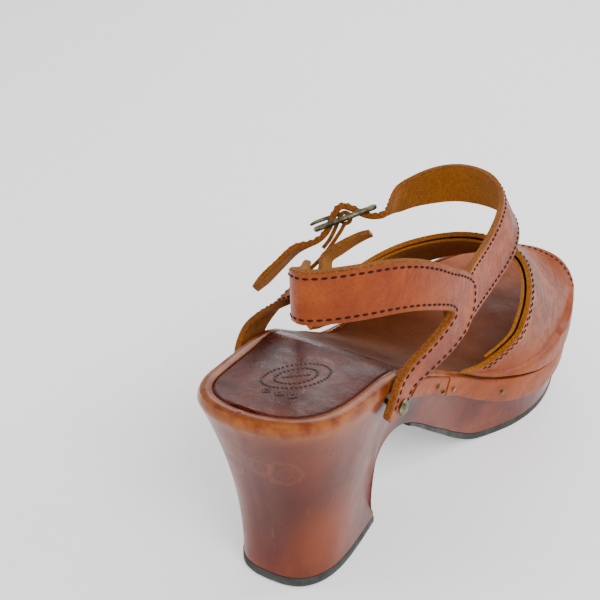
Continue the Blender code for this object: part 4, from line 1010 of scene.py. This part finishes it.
# ---------------------------------------------------------------- materials
class Mat:
    def __init__(self, name, rough=0.5, metal=0.0):
        self.m = bpy.data.materials.new(name)
        self.m.use_nodes = True
        self.t = self.m.node_tree
        self.b = self.t.nodes["Principled BSDF"]
        self.b.inputs["Roughness"].default_value = rough
        self.b.inputs["Metallic"].default_value = metal
        self.co = self.t.nodes.new("ShaderNodeTexCoord").outputs["Object"]

    def link(self, a, b):
        self.t.links.new(a, b)

    def noise(self, scale, detail=4, rough=0.6, distort=0.0, stretch=None):
        n = self.t.nodes.new("ShaderNodeTexNoise")
        n.inputs["Scale"].default_value = scale
        n.inputs["Detail"].default_value = detail
        n.inputs["Roughness"].default_value = rough
        n.inputs["Distortion"].default_value = distort
        if stretch:
            mp = self.t.nodes.new("ShaderNodeMapping")
            mp.inputs["Scale"].default_value = stretch
            self.link(self.co, mp.inputs["Vector"])
            self.link(mp.outputs[0], n.inputs["Vector"])
        else:
            self.link(self.co, n.inputs["Vector"])
        return n.outputs["Fac"]

    def voronoi(self, scale, feature='F1'):
        n = self.t.nodes.new("ShaderNodeTexVoronoi")
        n.feature = feature
        n.inputs["Scale"].default_value = scale
        self.link(self.co, n.inputs["Vector"])
        return n.outputs["Distance"]

    def ramp(self, fac, stops):
        r = self.t.nodes.new("ShaderNodeValToRGB")
        els = r.color_ramp.elements
        while len(els) < len(stops):
            els.new(0.5)
        for e, (p, c) in zip(els, stops):
            e.position = p
            e.color = (*c, 1.0) if len(c) == 3 else c
        self.link(fac, r.inputs["Fac"])
        return r.outputs["Color"]

    def mix(self, fac, a, b, mode='MIX'):
        n = self.t.nodes.new("ShaderNodeMix")
        n.data_type = 'RGBA'
        n.blend_type = mode
        for sock, v in ((n.inputs[0], fac), (n.inputs[6], a), (n.inputs[7], b)):
            if isinstance(v, (int, float)):
                sock.default_value = v
            elif isinstance(v, tuple):
                sock.default_value = (*v, 1.0)
            else:
                self.link(v, sock)
        return n.outputs[2]

    def math(self, op, a, b=0.0, clamp=False):
        n = self.t.nodes.new("ShaderNodeMath")
        n.operation = op
        n.use_clamp = clamp
        for sock, v in ((n.inputs[0], a), (n.inputs[1], b)):
            if isinstance(v, (int, float)):
                sock.default_value = v
            else:
                self.link(v, sock)
        return n.outputs[0]

    def near(self, p, radius, soft=1.0):
        # 1 at the point p (row frame, metres) falling to 0 at radius
        n = self.t.nodes.new("ShaderNodeVectorMath")
        n.operation = 'DISTANCE'
        self.link(self.co, n.inputs[0])
        n.inputs[1].default_value = p
        mr = self.t.nodes.new("ShaderNodeMapRange")
        mr.interpolation_type = 'SMOOTHSTEP'
        mr.inputs["From Min"].default_value = radius
        mr.inputs["From Max"].default_value = radius * (1 - soft)
        self.link(n.outputs["Value"], mr.inputs["Value"])
        return mr.outputs[0], n.outputs["Value"]

    def height(self, axis, lo, hi):
        s = self.t.nodes.new("ShaderNodeSeparateXYZ")
        self.link(self.co, s.inputs[0])
        mr = self.t.nodes.new("ShaderNodeMapRange")
        mr.interpolation_type = 'SMOOTHSTEP'
        mr.inputs["From Min"].default_value = lo
        mr.inputs["From Max"].default_value = hi
        self.link(s.outputs[axis], mr.inputs["Value"])
        return mr.outputs[0]

    def bump(self, h, dist=0.0003, strength=0.5, prev=None):
        n = self.t.nodes.new("ShaderNodeBump")
        n.inputs["Strength"].default_value = strength
        n.inputs["Distance"].default_value = dist
        self.link(h, n.inputs["Height"])
        if prev is not None:
            self.link(prev, n.inputs["Normal"])
        return n.outputs[0]

    def done(self, color, rough=None, normal=None, deepen=1.0, spec=None):
        if deepen < 1.0:
            color = self.mix(1.0, color, (deepen, deepen ** 1.35, deepen ** 2.4), 'MULTIPLY')
        if spec is not None:
            self.b.inputs["Specular IOR Level"].default_value = spec
        self.link(color, self.b.inputs["Base Color"])
        if rough is not None:
            self.link(rough, self.b.inputs["Roughness"])
        if normal is not None:
            self.link(normal, self.b.inputs["Normal"])
        return self.m


def rf(x, s, z):
    # point of the row frame in metres, from the working millimetres, relative to an object at SHIFT
    return (x * MM, -s * MM, z * MM)


def wood_material():
    w = Mat("stained_lacquered_wood", 0.3)
    big = w.noise(26, 5, 0.6, 0.6)
    c = w.ramp(big, [(0.28, (0.120, 0.0125, 0.0070)), (0.44, (0.205, 0.0300, 0.0150)), (0.58, (0.300, 0.0600, 0.0280)),
                     (0.74, (0.42, 0.115, 0.055))])
    grain = w.noise(60, 6, 0.65, 1.2, stretch=(1.0, 1.0, 0.16))
    g = w.ramp(grain, [(0.35, (0.62, 0.55, 0.52)), (0.55, (1.0, 1.0, 1.0)), (0.72, (1.25, 1.15, 1.05))])
    c = w.mix(0.55, c, g, 'MULTIPLY')
    # dark maroon middle of the heel back
    d, _ = w.near(rf(-14, 10, 66), 0.026, 0.9)
    c = w.mix(w.math('MULTIPLY', d, 0.45), c, (0.085, 0.0090, 0.0062))
    d, _ = w.near(rf(-9, 17, 30), 0.025, 0.95)
    c = w.mix(w.math('MULTIPLY', d, 0.66), c, (0.060, 0.0052, 0.0034))
    # orange sunburst patches
    for p, r, a, colr in (((-25, 24, 22), 0.026, 0.75, (0.42, 0.100, 0.022)), ((15, 16, 60), 0.030, 0.15, (0.33, 0.070, 0.028)),
                          ((-20, 20, 62), 0.024, 0.25, (0.40, 0.105, 0.050)), ((14, 22, 20), 0.016, 0.4, (0.30, 0.060, 0.022))):
        d, _ = w.near(rf(*p), r, 1.0)
        c = w.mix(w.math('MULTIPLY', d, a), c, colr)
    # darker patch low on the medial side of the waist
    d, _ = w.near(rf(-20, 82, 44), 0.013, 0.8)
    c = w.mix(w.math('MULTIPLY', d, 0.85), c, (0.030, 0.0040, 0.0028))
    # knots: pale rings round a darker eye
    for p, r0, a in (((-11.5, 11, 55), 0.0056, 0.15), ((8.5, 12, 53), 0.0050, 0.24), ((-4.5, 10, 57), 0.0036, 0.16),
                     ((-12.0, 11, 55), 0.0024, 0.06)):
        f, dist = w.near(rf(*p), 0.014, 0.5)
        wob = w.math('ADD', dist, w.math('MULTIPLY', w.math('SUBTRACT', w.noise(190, 4), 0.5), 0.0085))
        off = w.math('ABSOLUTE', w.math('SUBTRACT', wob, r0))
        mr = w.t.nodes.new("ShaderNodeMapRange")
        mr.interpolation_type = 'SMOOTHSTEP'
        mr.inputs["From Min"].default_value = 0.0013
        mr.inputs["From Max"].default_value = 0.0001
        w.link(off, mr.inputs["Value"])
        ring = w.math('MULTIPLY', w.math('MULTIPLY', mr.outputs[0], f), a)
        c = w.mix(ring, c, (0.56, 0.19, 0.10))
    # fine pale scratches
    sc = w.noise(420, 2, 0.5, 0.0, stretch=(1.0, 0.2, 0.08))
    scm = w.ramp(sc, [(0.70, (0, 0, 0)), (0.78, (0.5, 0.5, 0.5))])
    c = w.mix(scm, c, (0.46, 0.16, 0.09))
    # rim: pale top edge of the wood, part wear and part painted highlight where the rim faces up to the light
    at = w.t.nodes.new("ShaderNodeAttribute")
    at.attribute_name = "rim"
    edge = w.math('MULTIPLY', at.outputs["Fac"], w.math('ADD', w.math('MULTIPLY', w.noise(90, 4), 0.9), 0.45), clamp=True)
    rimc = w.ramp(w.noise(140, 4), [(0.35, (0.30, 0.060, 0.014)), (0.6, (0.56, 0.21, 0.075))])
    c = w.mix(edge, c, rimc)
    r = w.ramp(w.noise(50, 4), [(0.3, (0.20, 0.20, 0.20)), (0.7, (0.40, 0.40, 0.40))])
    n = w.bump(w.noise(300, 4, 0.6, 0.5, stretch=(1, 1, 0.2)), 0.0003, 0.16)
    n = w.bump(w.noise(38, 2), 0.0012, 0.12, n)
    w.b.inputs["Coat Weight"].default_value = 0.10
    w.b.inputs["Coat Roughness"].default_value = 0.16
    return w.done(c, r, n, deepen=0.54, spec=0.2)


def leather(name, dark, mid, light, rough=0.36, coat=0.12, grain=1500, creases=0.0, patch=34, bump=0.32):
    w = Mat(name, rough)
    c = w.ramp(w.noise(patch, 6, 0.62, 0.5), [(0.30, dark), (0.52, mid), (0.74, light)])
    sp = w.ramp(w.noise(700, 4, 0.7), [(0.34, (0.72, 0.66, 0.60)), (0.52, (1, 1, 1))])
    c = w.mix(0.6, c, sp, 'MULTIPLY')
    cr = w.noise(150, 5, 0.6, 1.6, stretch=(1.0, 1.0, 0.35))
    # painted shade: thin dark lines along the creases, beside the crease bump below
    crease_painted_shade = w.ramp(cr, [(0.455, (1, 1, 1)), (0.485, (0.5, 0.42, 0.36)), (0.515, (1, 1, 1))])
    c = w.mix(0.22 + creases, c, crease_painted_shade, 'MULTIPLY')
    r = w.ramp(w.noise(260, 5), [(0.3, (rough - 0.1,) * 3), (0.7, (rough + 0.14,) * 3)])
    n = w.bump(w.voronoi(grain), 0.00025, bump)
    n = w.bump(w.noise(240, 5, 0.6, 1.0), 0.0005, 0.35, n)
    n = w.bump(cr, 0.0009, 0.12 + creases, n)
    w.b.inputs["Coat Weight"].default_value = coat
    w.b.inputs["Coat Roughness"].default_value = 0.25
    return w.done(c, r, n, deepen=0.70, spec=0.15)


def suede(name, dark, mid, light):
    w = Mat(name, 0.95)
    c = w.ramp(w.noise(1500, 6, 0.75), [(0.32, dark), (0.5, mid), (0.68, light)])
    c2 = w.ramp(w.noise(60, 4), [(0.3, (0.72, 0.68, 0.62)), (0.7, (1.12, 1.08, 1.0))])
    c = w.mix(0.8, c, c2, 'MULTIPLY')
    n = w.bump(w.noise(2600, 5, 0.8), 0.0006, 0.85)
    n = w.bump(w.noise(520, 4, 0.7), 0.0008, 0.5, n)
    w.b.inputs["Sheen Weight"].default_value = 0.18
    w.b.inputs["Sheen Roughness"].default_value = 0.45
    w.b.inputs["Sheen Tint"].default_value = (1.0, 0.72, 0.35, 1.0)
    w.b.inputs["Specular IOR Level"].default_value = 0.15
    return w.done(c, None, n)


M_WOOD = wood_material()
M_TAN = leather("tan_strap_leather", (0.200, 0.0300, 0.0045), (0.345, 0.0620, 0.0085), (0.46, 0.1150, 0.0150), 0.38, 0.04, creases=0.10)
M_VAMP = leather("vamp_leather", (0.210, 0.0380, 0.0100), (0.360, 0.0850, 0.0270), (0.48, 0.150, 0.052), 0.40, 0.04, creases=0.05)
M_RAND = leather("rand_leather", (0.240, 0.0420, 0.0075), (0.380, 0.0850, 0.0160), (0.50, 0.140, 0.034), 0.42, 0.03)
M_SUEDE = suede("golden_suede", (0.150, 0.0380, 0.0030), (0.330, 0.1020, 0.0080), (0.50, 0.1900, 0.0200))
# raw strap edges: a darker copy of the suede, part the raw edge's own tone and part painted shade on the edges
M_EDGE_SHADED = suede("raw_edge_with_painted_shade", (0.090, 0.0200, 0.0030), (0.230, 0.0640, 0.0080), (0.40, 0.1450, 0.0200))


def pad_material():
    w = leather("polished_heel_pad", (0.050, 0.0050, 0.0026), (0.105, 0.0115, 0.0050), (0.190, 0.0280, 0.0110), 0.30, 0.07, 1100,
                patch=60, bump=0.2)
    return w


def sock_material():
    w = Mat("sock_leather_with_painted_shade", 0.5)
    # painted shade: the sock runs from orange at the toe to dark brown at its rear end by the heel pad, so the shadow
    # on the footbed is painted into its colour; the noise below adds the leather's own uneven tone
    f = w.height(1, -0.230, -0.075)
    base = w.ramp(f, [(0.0, (0.42, 0.095, 0.022)), (0.45, (0.34, 0.105, 0.042)), (0.8, (0.21, 0.085, 0.047)), (1.0, (0.13, 0.035, 0.018))])
    c = w.mix(0.75, base, w.ramp(w.noise(55, 6, 0.65, 0.8), [(0.3, (0.62, 0.56, 0.54)), (0.7, (1.2, 1.16, 1.12))]), 'MULTIPLY')
    c = w.mix(0.5, c, w.ramp(w.noise(900, 5), [(0.35, (0.7, 0.66, 0.62)), (0.6, (1, 1, 1))]), 'MULTIPLY')
    n = w.bump(w.voronoi(1300), 0.0002, 0.25)
    n = w.bump(w.noise(300, 5), 0.0005, 0.3, n)
    r = w.ramp(w.noise(80, 4), [(0.3, (0.40,) * 3), (0.7, (0.65,) * 3)])
    return w.done(c, r, n, deepen=0.85, spec=0.2)


def rubber_material():
    w = Mat("black_rubber_sole", 0.7)
    c = w.ramp(w.noise(160, 6, 0.7), [(0.35, (0.010, 0.011, 0.010)), (0.6, (0.030, 0.032, 0.028)), (0.8, (0.075, 0.07, 0.06))])
    n = w.bump(w.noise(900, 5, 0.7), 0.0003, 0.5)
    r = w.ramp(w.noise(120, 4), [(0.3, (0.5,) * 3), (0.7, (0.85,) * 3)])
    return w.done(c, r, n)


def brass_material():
    w = Mat("antique_brass_metal", 0.38, 1.0)
    c = w.ramp(w.noise(420, 6, 0.7), [(0.32, (0.045, 0.038, 0.022)), (0.5, (0.13, 0.115, 0.066)), (0.68, (0.34, 0.30, 0.17))])
    r = w.ramp(w.noise(600, 5), [(0.3, (0.28,) * 3), (0.7, (0.6,) * 3)])
    n = w.bump(w.noise(1400, 5, 0.7), 0.0002, 0.35)
    return w.done(c, r, n)


def thread_material():
    w = Mat("waxed_thread", 0.6)
    c = w.ramp(w.noise(2200, 4), [(0.35, (0.008, 0.003, 0.002)), (0.65, (0.030, 0.010, 0.005))])
    n = w.bump(w.noise(5200, 3), 0.0002, 0.5)
    return w.done(c, None, n, spec=0.1)


M_PAD, M_SOCK, M_RUB, M_BRASS, M_THREAD = pad_material(), sock_material(), rubber_material(), brass_material(), thread_material()
for n, o in FINE.items():
    me = o.data
    idx = [p.material_index for p in me.polygons]
    me.materials.clear()
    if n in STRAPS:
        ms = [M_TAN, M_SUEDE, M_EDGE_SHADED]
    elif n == 'vamp':
        ms = [M_VAMP, M_SUEDE] if vn[16][45].z > 0 else [M_SUEDE, M_VAMP]
    elif n == 'vamp_lining':
        ms = [M_SUEDE]
    elif n.startswith('rand_tack') or n.startswith('strap_tack') or n.startswith('lift_nail') or n in ('buckle_frame', 'buckle_prong'):
        ms = [M_BRASS]
    elif n.startswith('rand'):
        ms = [M_RAND]
    else:
        ms = [{'wood_sole': M_WOOD, 'heel_pad': M_PAD, 'insole_sock': M_SOCK, 'heel_top_lift': M_RUB, 'forepart_outsole': M_RUB}[n]]
    for m in ms:
        me.materials.append(m)
    for p, i in zip(me.polygons, idx):
        p.material_index = min(i, len(ms) - 1)


# ---------------------------------------------------------------- stitching
def capsule_run(name, pts, nrms, body_name, pitch=2.9, length=2.4, r=0.42):
    # pts: dense path in working mm, nrms: outward normals; one stitch every pitch
    L = [0.0]
    for a, b in zip(pts[:-1], pts[1:]):
        L.append(L[-1] + (b - a).length)
    bm = bmesh.new()

    def at(d):
        j = 0
        lo, hi = 0, len(L) - 2
        while lo < hi:
            mid = (lo + hi + 1) // 2
            if L[mid] <= d:
                lo = mid
            else:
                hi = mid - 1
        t = min(max((d - L[lo]) / max(L[lo + 1] - L[lo], 1e-9), 0), 1)
        return pts[lo].lerp(pts[lo + 1], t), nrms[lo].lerp(nrms[lo + 1], t).normalized()
    d = pitch * 0.5
    while d + length < L[-1]:
        prof = ((0.0, 0.25, -0.30), (0.16, 0.85, -0.05), (0.5, 1.0, 0.10), (0.84, 0.85, -0.05), (1.0, 0.25, -0.30))
        rows = []
        for f, rr, hgt in prof:
            p, nn = at(d + length * f)
            q, _ = at(min(d + length * f + 0.1, L[-1]))
            tg = (q - p).normalized() if (q - p).length > 1e-6 else Vector((1, 0, 0))
            sd = tg.cross(nn).normalized()
            c = p + nn * (hgt * r / 0.36)
            rows.append([bm.verts.new(P(*(c + sd * (r * rr * math.cos(a)) + nn * (r * rr * 0.8 * math.sin(a)))))
                         for a in [2 * math.pi * k / 6 for k in range(6)]])
        for a, b in zip(rows[:-1], rows[1:]):
            for k in range(6):
                bm.faces.new((a[k], a[(k + 1) % 6], b[(k + 1) % 6], b[k]))
        bm.faces.new(list(reversed(rows[0])))
        bm.faces.new(rows[-1])
        d += pitch
    bmesh.ops.recalc_face_normals(bm, faces=bm.faces)
    me = bpy.data.meshes.new(name)
    bm.to_mesh(me)
    bm.free()
    for p in me.polygons:
        p.use_smooth = True
    me.materials.append(M_THREAD)
    o = bpy.data.objects.new(name, me)
    col.objects.link(o)
    o.location = SHIFT
    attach(o, body_name)
    return o


def strap_stitch(name, key, edge, a, b, inset=2.1, both=False):
    rows, out = STRAPS[key]
    n = len(rows)
    pts, nr = [], []
    for C, wd, nn, W, th in rows[int(n * a):int(n * b)]:
        off = max(W / 2 - inset, 0.4)
        s = out if not both else -out
        pts.append(C + wd * (off * edge) + nn * (s * (th / 2)))
        nr.append(nn * s)
    return capsule_run(name, pts, nr, "ankle_straps")


strap_stitch("stitch_quarter_inner", 'quarter_heel_strap', -1, 0.045, 0.955)
strap_stitch("stitch_quarter_outer", 'quarter_heel_strap', 1, 0.045, 0.955)
strap_stitch("stitch_instep_upper", 'instep_strap', -1, 0.09, 0.97)
strap_stitch("stitch_instep_lower", 'instep_strap', 1, 0.09, 0.97)
strap_stitch("stitch_backing_upper", 'buckle_backing_tab', -1, 0.1, 0.92)
strap_stitch("stitch_backing_lower", 'buckle_backing_tab', 1, 0.1, 0.92)


def vamp_row(name, u_edge, direction, dist, v0=0.045, v1=0.955):
    pts, nr = [], []
    sgn = 1 if vn[16][45].z > 0 else -1
    N = 170
    for k in range(N):
        v = v0 + (v1 - v0) * k / (N - 1)
        p0 = vamp_point(u_edge, v)
        u = u_edge
        acc = 0.0
        prev = p0
        while acc < dist and 0 <= u <= 1:
            u += direction * 0.004
            q = vamp_point(u, v)
            acc += (q - prev).length
            prev = q
        e = 0.004
        a = vamp_point(min(u + e, 1), v) - vamp_point(max(u - e, 0), v)
        b = vamp_point(u, min(v + e, 1)) - vamp_point(u, max(v - e, 0))
        nn = a.cross(b).normalized() * sgn
        pts.append(prev + nn * (VAMP_T / 2))
        nr.append(nn)
    return capsule_run(name, pts, nr, "clog_base")


vamp_row("stitch_vamp_rear_1", 0.0, 1, 2.4)
vamp_row("stitch_vamp_rear_2", 0.0, 1, 5.6)
vamp_row("stitch_vamp_front", 1.0, -1, 2.8)


# ---------------------------------------------------------------- pressed ornament on the heel pad
def pad_marks():
    bm = bmesh.new()

    def bead(x, s, r, h=0.22, lens=(1.0, 1.0)):
        z = rim_z(s - max(0.0, 1.9 - (s - 20) * 0.06)) + 0.36 - 0.35 * (abs(x) / 24.0) ** 2
        mtx = Matrix.Translation(P(x, s, z)) @ Matrix.Diagonal((r * lens[0] * MM, r * lens[1] * MM, h * MM, 1))
        bmesh.ops.create_uvsphere(bm, u_segments=10, v_segments=6, radius=1.0, matrix=mtx)
    ca, cb = (-8.1, 9.0), (-3.6, -7.7)
    for k in range(46):
        a = 2 * math.pi * k / 46
        bead(-0.4 + ca[0] * math.cos(a) + cb[0] * math.sin(a), 37.4 + ca[1] * math.cos(a) + cb[1] * math.sin(a), 0.5)
    for k in range(28):
        a = 2 * math.pi * k / 28
        bead(-0.4 + 0.62 * (ca[0] * math.cos(a) + cb[0] * math.sin(a)), 37.4 + 0.62 * (ca[1] * math.cos(a) + cb[1] * math.sin(a)), 0.55)
    for k in range(7):
        f = (k - 3) / 3.0 * 0.36
        bead(-0.4 + ca[0] * f, 37.4 + ca[1] * f, 0.62)
    for x, s in ((1.6, 21.9), (-2.6, 22.9), (-6.8, 24.0)):
        for dx, ds in ((0, 1.5), (1.1, 0), (-1.1, 0), (0, -1.5), (0.6, 0.8), (-0.6, 0.8), (0.6, -0.8), (-0.6, -0.8)):
            bead(x + dx, s + ds, 0.62, 0.28)
    me = bpy.data.meshes.new("pad_marks")
    bm.to_mesh(me)
    bm.free()
    for p in me.polygons:
        p.use_smooth = True
    w = Mat("pressed_mark", 0.4)
    c = w.ramp(w.noise(500, 4), [(0.3, (0.022, 0.010, 0.008)), (0.7, (0.075, 0.030, 0.020))])
    me.materials.append(w.done(c, None, w.bump(w.noise(1500, 3), 0.0002, 0.3)))
    o = bpy.data.objects.new("pad_marks", me)
    col.objects.link(o)
    o.location = SHIFT
    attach(o, "clog_base")


pad_marks()

# ---------------------------------------------------------------- floor, light, camera
bm = bmesh.new()
bmesh.ops.create_grid(bm, x_segments=2, y_segments=2, size=60.0)
me = bpy.data.meshes.new("floor")
bm.to_mesh(me)
bm.free()
floor = bpy.data.objects.new("floor", me)
bpy.context.scene.collection.objects.link(floor)
fm = Mat("pale_floor", 0.6)
fm.done(fm.ramp(fm.noise(4, 2), [(0.0, (0.92, 0.92, 0.92)), (1.0, (0.95, 0.95, 0.95))]))
fm.b.inputs["Emission Color"].default_value = (1.0, 1.0, 1.0, 1.0)
fm.b.inputs["Emission Strength"].default_value = 0.45
me.materials.append(fm.m)

world = bpy.data.worlds.new("studio")
world.use_nodes = True
world.node_tree.nodes["Background"].inputs["Color"].default_value = (1.0, 1.0, 1.0, 1.0)
world.node_tree.nodes["Background"].inputs["Strength"].default_value = 0.62
bpy.context.scene.world = world


def area(name, loc, target, size, power, color=(1, 1, 1)):
    ld = bpy.data.lights.new(name, 'AREA')
    ld.shape = 'RECTANGLE'
    ld.size, ld.size_y = size
    ld.energy = power
    ld.color = color
    o = bpy.data.objects.new(name, ld)
    bpy.context.scene.collection.objects.link(o)
    o.location = loc
    o.rotation_mode = 'QUATERNION'
    o.rotation_quaternion = (Vector(target) - Vector(loc)).to_track_quat('-Z', 'Y')
    return o


area("key_softbox", (-0.75, 0.55, 0.85), (0, 0, 0.05), (0.6, 0.6), 11.0)
area("right_strip", (-0.75, -0.75, 0.55), (0, 0, 0.05), (0.25, 0.8), 7.0)
area("left_fill", (0.85, 0.6, 0.55), (0, 0, 0.05), (0.6, 0.8), 5.0)
area("back_fill", (0.35, -0.95, 0.7), (0, 0, 0.05), (0.8, 0.5), 5.0)

A, E, R = math.radians(30.5934), math.radians(27.8562), math.radians(0.55074)
DIST, FOCAL_PX = 0.3740064, 1113.342
target = Vector((0.00636349, -0.05072102, 0.09608742)) + SHIFT
d = Vector((math.sin(A) * math.cos(E), -math.cos(A) * math.cos(E), -math.sin(E)))
rt = d.cross(Vector((0, 0, 1))).normalized()
up = rt.cross(d)
r2 = math.cos(R) * rt + math.sin(R) * up
u2 = -math.sin(R) * rt + math.cos(R) * up
C = target - d * DIST
cd = bpy.data.cameras.new("camera")
cam = bpy.data.objects.new("camera", cd)
bpy.context.scene.collection.objects.link(cam)
cd.sensor_width = 36.0
cd.lens = FOCAL_PX / 600 * 36.0
cd.clip_start, cd.clip_end = 0.01, 200
cam.matrix_world = Matrix(((r2.x, u2.x, -d.x, C.x), (r2.y, u2.y, -d.y, C.y), (r2.z, u2.z, -d.z, C.z), (0, 0, 0, 1)))
bpy.context.scene.camera = cam
